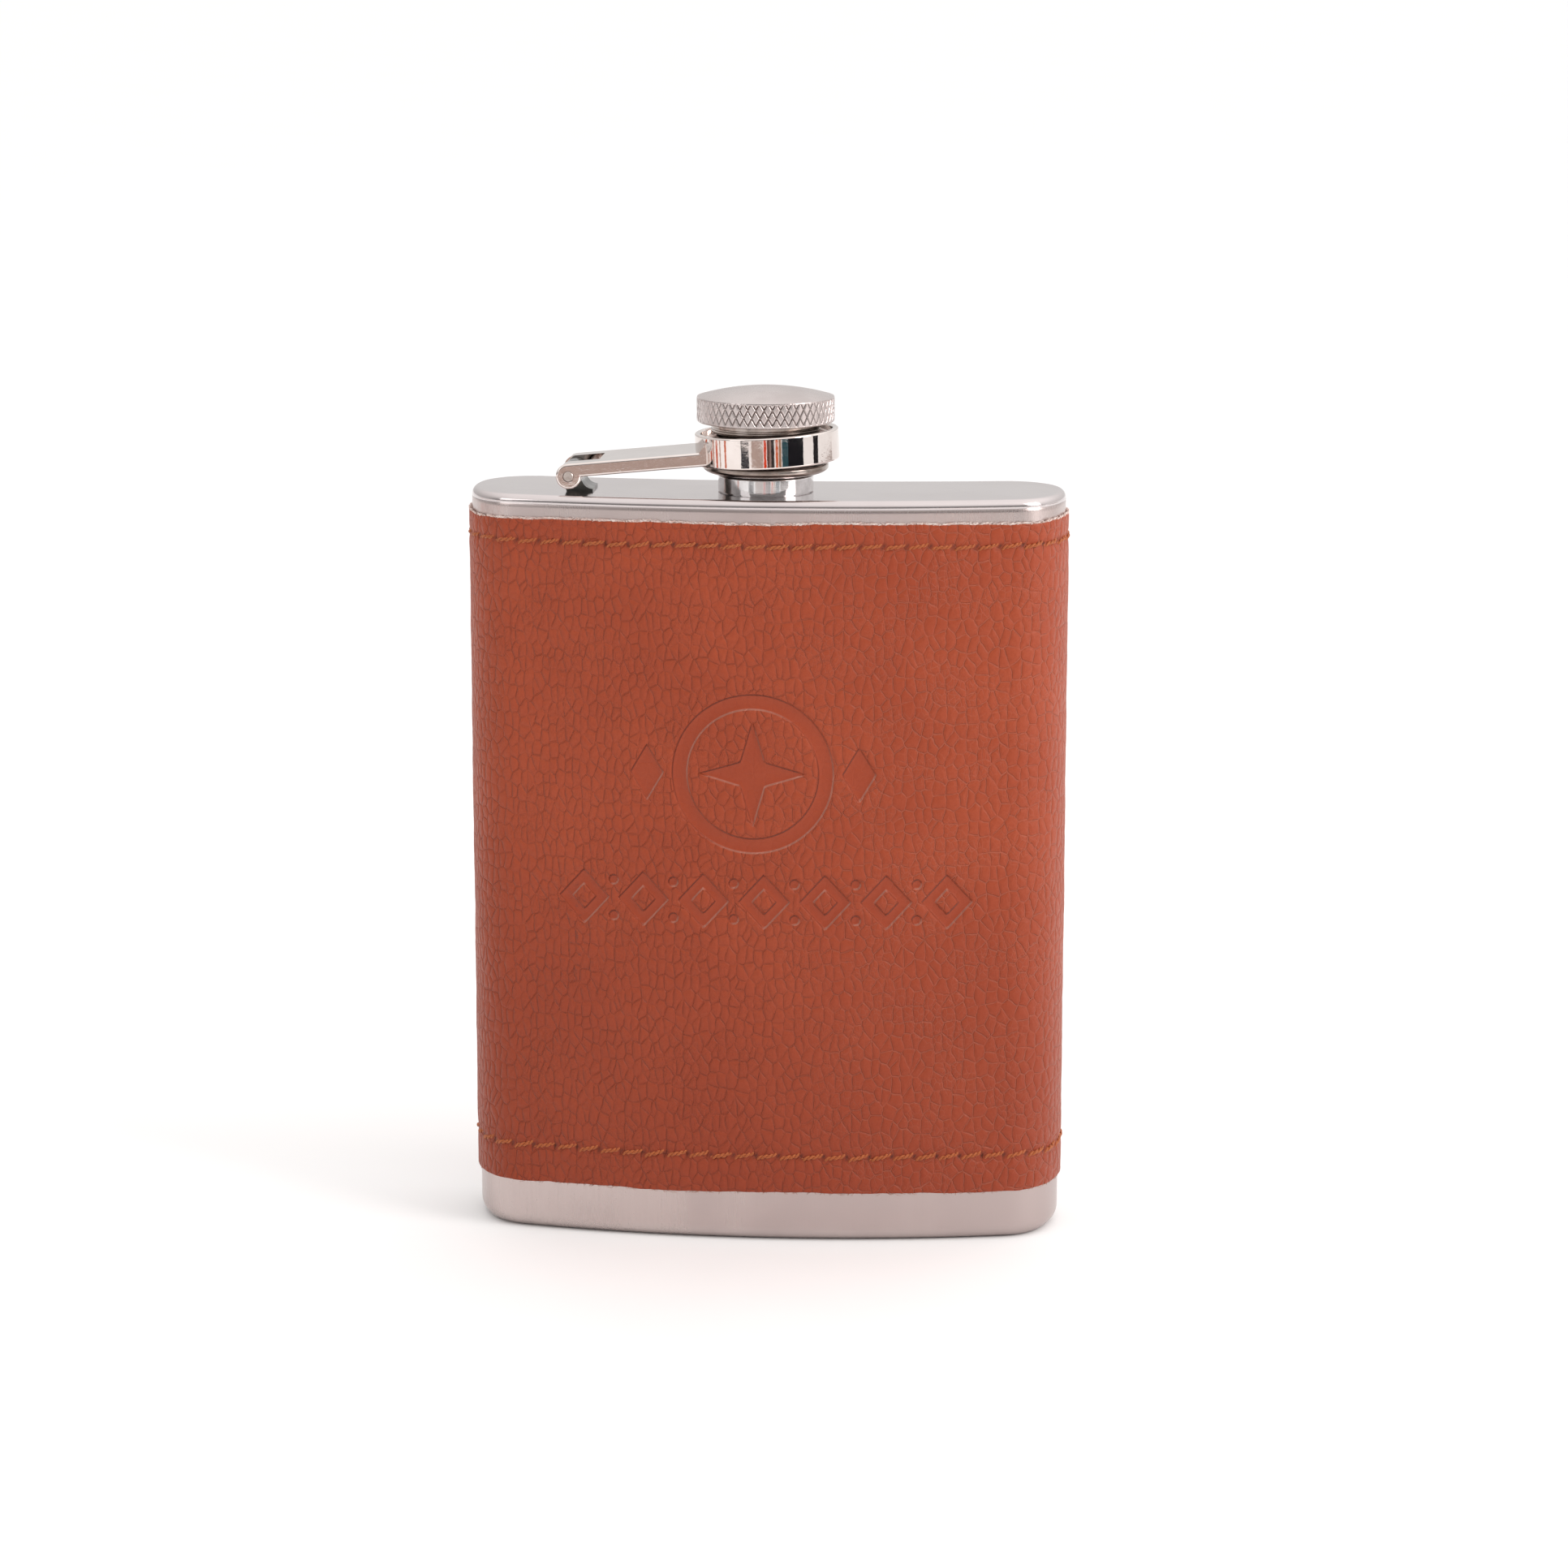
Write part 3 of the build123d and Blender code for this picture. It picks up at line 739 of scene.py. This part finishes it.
flare = [(r, z, 0) for r, z in hermite((WAIST_RADIUS, CAP_BOTTOM), (FLANGE_RADIUS, FLANGE_RIM),
                                       (2.3, 0.3), (1.1, 1.8), 12)]
bore_rows = [(CAP_BORE, height, 0)
             for height in np.arange(CAP_CEILING - 0.5, CAP_BOTTOM + 0.2, -0.1)]
SHOULDER_INNER = SHOULDER_RADIUS - SHOULDER_GROOVE_DEPTH
groove_rows = zip((SHOULDER_RADIUS, SHOULDER_INNER, SHOULDER_INNER, SHOULDER_RADIUS),
                  SHOULDER_GROOVE_ROWS, (0.04, 0.03, 0.03, 0.04))
sleeve_profile = soften([
    (WAIST_RADIUS, CAP_BOTTOM, 0), *flare, (FLANGE_RADIUS, FLANGE_RIM, 0.1),
    (FLANGE_RADIUS, FLANGE_TOP, 0.3), (WAIST_RADIUS, FLANGE_TOP, 0.2),
    (WAIST_RADIUS, SHOULDER_BOTTOM, 0.05), (SHOULDER_RADIUS, SHOULDER_BOTTOM, 0.12),
    *groove_rows,
    (SHOULDER_RADIUS, HEAD_BOTTOM - HEAD_FIT, 0), (WAIST_RADIUS, HEAD_BOTTOM - HEAD_FIT, 0),
    (WAIST_RADIUS, SLEEVE_TOP, 0), (0, SLEEVE_TOP, 0), (0, CAP_CEILING, 0),
    (CAP_BORE, CAP_CEILING, 0), *bore_rows, (CAP_BORE, CAP_BOTTOM, 0.1),
], 4)
stand_for(lathe("cap_collar", sleeve_profile, TURNED_SEGMENTS, sleeve_shade_look, sleeve_thread),
          "cap_sleeve", "cap")


def knurl(turn, radius, height):
    """Two crossing sets of V cuts round the band, fading out at its rims."""
    around_band = turn / tau * KNURLS
    climb = (height - KNURL_START) / KNURL_LENGTH
    cut = np.maximum(
        1 - np.abs(((around_band + climb) % 1.0) * 2 - 1) * KNURL_KEENNESS,
        1 - np.abs(((around_band - climb) % 1.0) * 2 - 1) * KNURL_KEENNESS,
    )
    window = smooth((height - HEAD_BOTTOM - 0.2) / 0.25) * smooth((BAND_TOP - 0.05 - height) / 0.3)
    return np.where(radius > HEAD_RADIUS - 0.01, -KNURL_DEPTH * np.clip(cut, 0, 1) * window, 0)


def dome(radius, low, high, steps):
    """A spherical cap's half section, rim to axis."""
    rise = high - low
    sphere = (radius**2 + rise**2) / (2 * rise)
    r = radius * np.cos(np.linspace(0, pi / 2, steps))
    return [(x, high - sphere + (sphere**2 - x**2) ** 0.5, 0) for x in r]


band = [(HEAD_RADIUS, height, 0)
        for height in np.linspace(HEAD_BOTTOM + 0.35, BAND_TOP - 0.12, BAND_ROWS)]
head_profile = soften([
    (WAIST_RADIUS + HEAD_FIT, HEAD_BOTTOM, 0.05), (HEAD_RADIUS, HEAD_BOTTOM, 0.28), *band,
    (HEAD_RADIUS - 0.06, BAND_TOP, 0), *dome(HEAD_RADIUS, BAND_TOP, DOME_TOP, 16)[1:],
    *dome(HEAD_RADIUS - PLATE, BAND_TOP - PLATE, DOME_TOP - PLATE, 8)[::-1],
    (HEAD_RADIUS - PLATE, HEAD_BOTTOM + PLATE, 0),
    (WAIST_RADIUS + HEAD_FIT, HEAD_BOTTOM + PLATE, 0),
])
stand_for(lathe("cap_top", head_profile, KNURLS * SEGMENTS_PER_KNURL, cap_look, knurl),
          "cap_head", "cap")

for node, look in (("captive_arm", chrome_look), ("hinge_pin", pin_look),
                   ("hinge_bracket", lug_shade_look), ("cap_gasket", rubber_look)):
    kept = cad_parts[node]
    kept.data.materials.clear()
    kept.data.materials.append(look)
    even_shading(kept)


# ---- leather wrap
def polygon_distance(x, z, corners):
    """Signed distance in the sheet's plane to a polygon, negative inside."""
    corners = np.array(corners, float)
    nearest = np.full(x.shape, np.inf)
    inside = np.zeros(x.shape, bool)
    for (ax, az), (bx, bz) in zip(corners, np.roll(corners, -1, 0)):
        ex, ez = bx - ax, bz - az
        share = np.clip(((x - ax) * ex + (z - az) * ez) / (ex * ex + ez * ez), 0, 1)
        nearest = np.minimum(nearest, np.hypot(x - ax - share * ex, z - az - share * ez))
        crosses = (az > z) != (bz > z)
        with np.errstate(divide="ignore", invalid="ignore"):
            inside ^= crosses & (x < (bx - ax) * (z - az) / (bz - az) + ax)
    return np.where(inside, -nearest, nearest)


def flat_vectors(across, up):
    """Vectors in the sheet's plane, for a mesh attribute."""
    return np.stack([across, up, np.zeros_like(across)], -1).reshape(-1, 3)


def lozenge(x, z, half_width, half_height):
    """Signed distance to an upright lozenge round the origin."""
    return polygon_distance(x, z, [(half_width, 0), (0, half_height),
                                   (-half_width, 0), (0, -half_height)])


def motif(x, z):
    """Signed distance to the pressed motif: a star in a ring, and a border of lozenges."""
    ex, ez = x - EMBLEM[0], z - EMBLEM[1]
    away = np.hypot(ex, ez)
    star = []
    for k in range(8):
        reach = STAR_TIP if k % 2 == 0 else STAR_WAIST
        star.append((reach * cos(k * pi / 4), reach * sin(k * pi / 4)))
    ring = np.abs(away - RING_RADIUS) - RING_HALF_WIDTH
    shape = np.minimum(ring, polygon_distance(ex, ez, star))
    for side in (-1, 1):
        shape = np.minimum(shape, lozenge(ex - side * SIDE_LOZENGE_OFFSET, ez, *SIDE_LOZENGE))
    bx, bz = x - BORDER[0], z - BORDER[1]
    for k in range(BORDER_LOZENGES):
        across = bx - (k - BORDER_LOZENGES // 2) * BORDER_PITCH
        hollow = np.maximum(lozenge(across, bz, *BORDER_LOZENGE),
                            -lozenge(across, bz, *BORDER_HOLLOW))
        shape = np.minimum(shape, hollow)
        if k < BORDER_LOZENGES - 1:
            dots = np.hypot(across - BORDER_PITCH / 2, np.abs(bz) - DOT_HEIGHT) - DOT_RADIUS
            shape = np.minimum(shape, dots)
    return shape


# The sheet's grid: columns round the body, finest in front, and rows that go up the grain
# side, over the cut edge, down the flesh side and back under
FRONT_HALF = 53.0
FRONT_COLUMNS = 266
BACK_COLUMNS = 76
ROWS = 236
SEAM_STEPS = np.array([0.0, 0.06, 0.18, 0.4])
columns = np.concatenate([
    -HALF_ROUND + SEAM_GAP + SEAM_STEPS,
    np.linspace(-HALF_ROUND + 1.0, -FRONT_HALF - 0.7, BACK_COLUMNS),
    np.linspace(-FRONT_HALF, FRONT_HALF, FRONT_COLUMNS),
    np.linspace(FRONT_HALF + 0.7, HALF_ROUND - 1.0, BACK_COLUMNS),
    HALF_ROUND - SEAM_GAP - SEAM_STEPS[::-1],
])
rise = np.linspace(0, 1, ROWS)
inner_share = np.array([1.0, 0.9, 0.7, 0.5, 0.3, 0.15, 0.08, 0.04, 0.02])
INNER_ROWS = len(inner_share)
share = np.concatenate([[0, 0], rise, [1, 1], [1], inner_share, [0, 0]])
nudge = np.concatenate([[0, 0.04], 0.13 * (1 - 2 * rise), [-0.04, 0], [0.02],
                        np.zeros(INNER_ROWS), [0, -0.02]])
level = np.concatenate([EDGE_LEVELS, np.full(ROWS, LEATHER_OUTER), EDGE_LEVELS[::-1], [EDGE_MIDDLE],
                        np.full(INNER_ROWS, LEATHER_GAP), [LEATHER_GAP, EDGE_MIDDLE]])
is_outer = np.concatenate([[0, 0.4], np.ones(ROWS), [0.4, 0], np.zeros(INNER_ROWS + 3)])

s_grid, share_grid = np.meshgrid(columns, share, indexing="ij")
bottom_edge = LEATHER_BOTTOM + wander(columns, 0.16, 47.0, 3) + wander(columns, 0.05, 6.1, 4)
top_edge = LEATHER_TOP + wander(columns, 0.15, 39.0, 5) + wander(columns, 0.06, 5.3, 6)
z_grid = bottom_edge[:, None] * (1 - share_grid) + top_edge[:, None] * share_grid + nudge
outer_grid = np.broadcast_to(is_outer, s_grid.shape)

PITCH = 2 * HALF_ROUND / STITCHES
TOP_ROW = dict(height=TOP_STITCH_HEIGHT, phase=0.3, thick=0.18, slant=0.5, drift=7,
               node="top_stitching")
BOTTOM_ROW = dict(height=BOTTOM_STITCH_HEIGHT, phase=0.8, thick=0.2, slant=0.62, drift=8,
                  node="bottom_stitching")


def row_height(row, s):
    """A row's height, which wanders a little."""
    return row["height"] + wander(s, 0.12, 31.0, row["drift"])


def stitch_relief(row, s, z):
    """How the sewing pulls the leather in, and a mask of its holes."""
    up = z - row_height(row, s)
    along = ((s / PITCH - row["phase"] + 0.5) % 1.0 - 0.5) * PITCH
    tilt = along - HOLE_SLANT * up
    hole_mask = np.exp(-((tilt / HOLE_SIZE[0]) ** 2 + (up / HOLE_SIZE[1]) ** 2))
    channel = np.exp(-((up / CHANNEL_WIDTH) ** 2))
    pucker = np.cos(tau * along / PITCH) * np.exp(-((up / PUCKER_WIDTH) ** 2))
    pull = -HOLE_DEPTH * hole_mask - CHANNEL_DEPTH * channel - PUCKER_DEPTH * pucker
    return pull, hole_mask


# Distance to the motif, and which of its rims face the light or turn from it
MOTIF_HALF = 45
PRESS_LIMIT = 3
press = np.clip(motif(s_grid, z_grid), -PRESS_LIMIT, PRESS_LIMIT)
press = np.where(np.abs(s_grid) < MOTIF_HALF, press, PRESS_LIMIT)
on_grain_side = outer_grid > 0.5
press_across = np.gradient(press, axis=0) / np.gradient(s_grid, axis=0)
press_up = np.gradient(press, axis=1) / np.where(on_grain_side, np.gradient(z_grid, axis=1), 1.0)
rim_side = np.clip((0.6 * press_across - 0.8 * press_up) * on_grain_side, -1, 1)

# Relief: the press with its raised rim, the sewing, slow waves, the seam and a lifted corner
relief = -PRESS_DEPTH * smooth(0.5 - press / 0.8)
relief = relief + 0.05 * np.exp(-(((press - 0.75) / 0.45) ** 2))
holes = np.zeros_like(s_grid)
for row in (TOP_ROW, BOTTOM_ROW):
    pulled, mask = stitch_relief(row, s_grid, z_grid)
    relief += pulled
    holes = np.maximum(holes, mask)
relief += (wander(s_grid + 0.35 * z_grid, 0.035, 17.0, 9)
           + wander(z_grid - 0.2 * s_grid, 0.035, 13.0, 10))
seam_distance = HALF_ROUND - SEAM_GAP - np.abs(s_grid)
relief -= (0.2 * (1 - smooth(seam_distance / 0.5 + 0.15))
           + 0.08 * np.exp(-((seam_distance / 1.6) ** 2)))
corner_s = -(arc_start[1] + 0.05 * arc_length[1])
lift = (CORNER_LIFT * np.exp(-(((s_grid - corner_s) / CORNER_WIDTH) ** 2))
        * np.exp(-((z_grid - LEATHER_BOTTOM) / CORNER_HEIGHT)))
relief = np.maximum(relief, THINNEST - LEATHER_OUTER)
thickness = np.broadcast_to(level, s_grid.shape) + relief * outer_grid + lift
leather_points = place_on_body(s_grid, thickness, z_grid)

# The grain's own coordinates, in cells: wider cells toward the right
cell_width = 1.25 + 0.4 * smooth((columns + 45) / 80)
cell_u = np.concatenate([[0], np.cumsum(np.diff(columns) / cell_width[1:])])
scuffed = np.exp(-(((s_grid - SCUFFED_AT[0]) / 3.2) ** 2
                   + ((z_grid - SCUFFED_AT[1]) / 10.0) ** 2))
profile_rows = len(share)
leather_faces = quads(len(columns), profile_rows, round_columns=False).tolist()
face_row = np.tile(np.arange(profile_rows), len(columns) - 1)
face_material = np.where((face_row >= 1) & (face_row < ROWS + 2), 0, 1).tolist()
leather_faces.append(list(range(profile_rows))[::-1])
leather_faces.append([(len(columns) - 1) * profile_rows + row for row in range(profile_rows)])
face_material += [1, 1]
wrap = make_piece(
    "leather_sleeve", leather_points, leather_faces, [leather_look, raw_look], sharp=60,
    material_index=face_material,
    facts={
        "sheet": flat_vectors(s_grid, z_grid),
        "grain": flat_vectors(np.broadcast_to(cell_u[:, None], s_grid.shape),
                              z_grid / GRAIN_LENGTH),
        "press": press.ravel(),
        "rim_side": rim_side.ravel(),
        "hole": holes.ravel(),
        "scuffed": (scuffed * outer_grid).ravel(),
        "outer": outer_grid.ravel(),
    },
)


def raise_grain(piece):
    """The leather's cells as real relief, from the same nodes as its material."""
    tree = bpy.data.node_groups.new("grain_relief", "GeometryNodeTree")
    for side in ("INPUT", "OUTPUT"):
        tree.interface.new_socket("Geometry", in_out=side, socket_type="NodeSocketGeometry")

    def named(name, kind="FLOAT"):
        """An attribute of the mesh."""
        node = add(tree, "GeometryNodeInputNamedAttribute", {"data_type": kind}, Name=name)
        return next(socket for socket in node.outputs if socket.enabled)

    height, _ = grain_height(tree, named("grain", "FLOAT_VECTOR"), named("sheet", "FLOAT_VECTOR"))
    open_grain = ramp(tree, named("press"), -0.15, 0.5)
    open_grain = sums(tree, "MULTIPLY", open_grain, named("outer"))
    height = sums(tree, "MULTIPLY", sums(tree, "MULTIPLY", height, open_grain),
                  MODELLED_GRAIN * MM)
    normal = tree.nodes.new("GeometryNodeInputNormal").outputs[0]
    offset = add(tree, "ShaderNodeVectorMath", {"operation": "SCALE"}, i0=normal, Scale=height)
    start = tree.nodes.new("NodeGroupInput")
    moved = add(tree, "GeometryNodeSetPosition", Geometry=start.outputs[0],
                Offset=offset.outputs[0])
    end = tree.nodes.new("NodeGroupOutput")
    tree.links.new(moved.outputs[0], end.inputs[0])
    modifier = piece.modifiers.new("grain_relief", "NODES")
    modifier.node_group = tree
    graph = bpy.context.evaluated_depsgraph_get()
    raised = bpy.data.meshes.new_from_object(piece.evaluated_get(graph))
    piece.modifiers.clear()
    piece.data = raised


raise_grain(wrap)
stand_for(wrap, "leather_wrap", "flask")


# ---- stitching
STITCH_STEPS = 26
STITCH_INSET = 0.17   # from a stitch's hole to the pitch's end
STITCH_FOOT = 0.62    # how deep its ends dive below the grain side
STITCH_RISE = 0.55
PLY_OFFSET = 0.82     # from a stitch's middle to a ply's, in ply radii
PLY_TURNS = 1.9


def stitch_row(name, row):
    """Two-ply stitches: each rises out of one hole, slants up and dives into the next."""
    left = (np.arange(STITCHES) + row["phase"]) * PITCH - HALF_ROUND
    left = (left + HALF_ROUND) % (2 * HALF_ROUND) - HALF_ROUND
    jitter = random.uniform(-1, 1, (STITCHES, 4))
    t = np.linspace(0, 1, STITCH_STEPS)[None]
    s = left[:, None] + STITCH_INSET + (PITCH - 2 * STITCH_INSET) * t + 0.08 * jitter[:, :1]
    s = (s + HALF_ROUND) % (2 * HALF_ROUND) - HALF_ROUND
    slant = row["slant"] + 0.1 * jitter[:, 1:2]
    z = row_height(row, s) + slant * (2 * t - 1) + 0.12 * np.sin(tau * t)
    z = z + 0.06 * jitter[:, 2:3]
    arch = np.clip(np.sin(pi * t), 0, 1) ** 0.5
    height = LEATHER_OUTER - STITCH_FOOT + (STITCH_RISE + 0.04 * jitter[:, 3:4]) * arch
    centre = place_on_body(s, height, z)
    _, out = plan(s)
    outward = np.concatenate([out, np.zeros_like(s)[..., None]], -1)
    along = np.gradient(centre, axis=1)
    along /= np.linalg.norm(along, axis=-1, keepdims=True)
    side = np.cross(along, outward)
    side /= np.linalg.norm(side, axis=-1, keepdims=True)
    upward = np.cross(side, along)
    points, faces = [], []
    for ply in (0, 1):
        turn = (tau * PLY_TURNS * t + pi * ply + jitter[:, :1])[..., None]
        round_middle = np.cos(turn) * side + np.sin(turn) * upward
        path = centre + row["thick"] * PLY_OFFSET * round_middle
        strand_points, strand_faces = tubes(path, row["thick"], outward, 8)
        shift = sum(len(block) for block in points)
        points.append(strand_points)
        faces.extend([[vertex + shift for vertex in face] for face in strand_faces])
    piece = make_piece(name, np.concatenate(points), faces, [thread_look], sharp=80)
    stand_for(piece, row["node"], "flask")


stitch_row("upper_stitches", TOP_ROW)
stitch_row("lower_stitches", BOTTOM_ROW)


# ---- fibres of the cut edges
FIBRE_RADIUS = 0.055
FIBRE_STEPS = 6


def edge_fibres(name, count, edge, upward, look):
    """Short curling fibres that stand out of a cut edge, up or down."""
    root_s = random.uniform(-HALF_ROUND + 0.5, HALF_ROUND - 0.5, (count, 1))
    edge_z = np.interp(root_s, columns, edge)
    across = random.uniform(0.1, LEATHER_OUTER - 0.05, (count, 1))
    length = random.uniform(0.3, 1.0, (count, 1))
    drift = random.normal(0, 0.9, (count, 1))
    curl = random.normal(0, 0.7, (count, 1))
    t = np.linspace(0, 1, FIBRE_STEPS)[None]
    s = root_s + length * (drift * t + curl * t * t) * 0.7
    grow = across + length * (0.1 * t + 0.08 * np.sin(3 * t + drift))
    z = edge_z + upward * (length * (0.65 * t - 0.2 * t * t) - 0.08)
    path = place_on_body(s, np.maximum(grow, 0.04), z)
    hint = np.zeros_like(path)
    hint[..., 0], hint[..., 1] = 0.31, 0.95
    radii = FIBRE_RADIUS * (1 - 0.6 * t)
    points, faces = tubes(path, radii, hint, 4)
    piece = make_piece(name, points, faces, [look], sharp=180)
    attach(piece, "flask")


edge_fibres("upper_edge_fibres", 2600, top_edge, 1, fuzz_look)
edge_fibres("lower_edge_fibres", 300, bottom_edge, -1, raw_look)


# ---- studio
def floor_look():
    """A white floor, hardly mottled."""
    material, tree, shader = new_look("white_floor", Specular_IOR_Level=0.1)
    mottle = noise(tree, where(tree), 0.02, 3.0)
    colour = tint(tree, mottle, (0.93, 0.93, 0.93), (0.95, 0.95, 0.95))
    tree.links.new(colour, shader.inputs["Base Color"])
    tree.links.new(ramp(tree, mottle, 0.3, 0.7, 0.7, 0.8), shader.inputs["Roughness"])
    return material


REACH = 14000
floor = make_piece(
    "floor", [(-REACH, -REACH, 0), (REACH, -REACH, 0), (REACH, REACH, 0), (-REACH, REACH, 0)],
    [(0, 1, 2, 3)], [floor_look()],
)


CARD_COLUMNS = 10


def card(name, first, last, distance, low, high, colour):
    """A curved studio card round the flask, seen only in its reflections."""
    turn = np.radians(np.linspace(first, last, CARD_COLUMNS))
    wide = np.stack([distance * np.sin(turn), -distance * np.cos(turn)], -1)
    points = np.stack([np.column_stack([wide, np.full(CARD_COLUMNS, height)])
                       for height in (low, high)], 1)
    material, _, _ = new_look(name, Base_Color=(*colour, 1), Roughness=0.9,
                              Specular_IOR_Level=0.0)
    piece = make_piece(name, points, quads(CARD_COLUMNS, 2, False, False), [material])
    piece.visible_camera = piece.visible_diffuse = piece.visible_shadow = False


CARDS = (
    # First and last bearing from the front in degrees, distance, lowest and highest point, colour
    (-108, -104, 250, 76, 98, (0.5, 0.12, 0.06)), (-98, -96, 260, 76, 98, (0.5, 0.14, 0.08)),
    (-91, -88, 250, 76, 98, (0.5, 0.3, 0.25)), (-84, -80, 250, 74, 86, (0.5, 0.1, 0.05)),
    (-76, -74, 260, 72, 94, (0.4, 0.25, 0.2)), (-66, -63, 250, 76, 100, (0.5, 0.12, 0.05)),
    (-58, -4, 505, 54, 56, (0.3, 0.22, 0.19)), (-37, -24, 350, 66, 76, (0.02, 0.022, 0.03)),
    (-34, -28, 340, 56, 66, (0.06, 0.05, 0.05)), (-20, -1.5, 500, 48, 66, (0.42, 0.33, 0.295)),
    (-0.5, 3.5, 490, 50, 74, (0.66, 0.06, 0.02)), (4.5, 8.5, 500, 50, 80, (0.12, 0.06, 0.05)),
    (8.5, 11, 505, 50, 80, (0.3, 0.22, 0.2)), (11, 16, 500, 50, 80, (0.04, 0.03, 0.03)),
    (18, 22, 480, 52, 80, (0.64, 0.13, 0.04)), (23, 27, 500, 52, 84, (0.34, 0.2, 0.12)),
    (28, 38, 500, 50, 86, (0.03, 0.08, 0.1)), (38, 64, 510, 58, 94, (0.012, 0.012, 0.015)),
    (40, 60, 515, 46, 57, (0.2, 0.17, 0.16)), (83, 93, 500, 72, 98, (0.02, 0.018, 0.02)),
    (-96, -88, 500, 40, 60, (0.03, 0.025, 0.02)), (98, 130, 520, 58, 80, (0.5, 0.44, 0.42)),
)
for number, facts in enumerate(CARDS):
    card(f"card_{number}", *facts)


LIT_POINT = Vector((0, 0, 0.065))


def softbox(name, position, size, power, colour=(1, 1, 1)):
    """An area light aimed at the flask's middle."""
    lamp = bpy.data.lights.new(name, "AREA")
    lamp.shape = "RECTANGLE"
    lamp.size, lamp.size_y = size
    lamp.energy = power
    lamp.color = colour
    light = bpy.data.objects.new(name, lamp)
    light.location = position
    aim = LIT_POINT - Vector(position)
    light.rotation_euler = aim.to_track_quat("-Z", "Y").to_euler()
    bpy.context.scene.collection.objects.link(light)


softbox("right_key", (0.85, -0.35, 0.5), (0.45, 0.65), 4.5, (1.0, 0.95, 0.93))
softbox("left_fill", (-0.8, -0.75, 0.5), (0.5, 0.5), 1.0)

world = bpy.data.worlds.new("studio")
world.use_nodes = True
sky = world.node_tree
way = add(sky, "ShaderNodeTexCoord").outputs["Generated"]
to_right, to_back, to_top = add(sky, "ShaderNodeSeparateXYZ", i0=way).outputs
# Brighter overhead and to the right, darker low down in front
above = ramp(sky, to_top, 0.0, 0.9, 0.73, 1.26)
before = ramp(sky, to_back, 0.15, -0.75)
low = ramp(sky, to_top, 0.62, 0.1)
shade = sums(sky, "MULTIPLY_ADD", sums(sky, "MULTIPLY", before, low), -0.68, 1.0)
glow = sums(sky, "MULTIPLY", above, shade)
glow = sums(sky, "MULTIPLY", glow, sums(sky, "MULTIPLY_ADD", to_right, 0.22, 1.0))
sky.nodes["Background"].inputs["Color"].default_value = (1.0, 0.985, 0.975, 1)
sky.links.new(glow, sky.nodes["Background"].inputs["Strength"])
bpy.context.scene.world = world
bpy.context.scene.view_settings.view_transform = "Standard"

# ---- camera
CAMERA_TURN = radians(4.588)
CAMERA_RISE = radians(11.919)
CAMERA_DISTANCE = 0.7113
CAMERA_TARGET = Vector((0.00287, 0, 0.07237))
FOCAL_LENGTH = 102.48
SENSOR_WIDTH = 36
backward = Vector((
    sin(CAMERA_TURN) * cos(CAMERA_RISE), -cos(CAMERA_TURN) * cos(CAMERA_RISE), sin(CAMERA_RISE)
))
lens = bpy.data.cameras.new("camera")
lens.lens = FOCAL_LENGTH
lens.sensor_width = SENSOR_WIDTH
lens.clip_start = 0.01
camera = bpy.data.objects.new("camera", lens)
camera.location = CAMERA_TARGET + backward * CAMERA_DISTANCE
camera.rotation_euler = backward.to_track_quat("Z", "Y").to_euler()
bpy.context.scene.collection.objects.link(camera)
bpy.context.scene.camera = camera
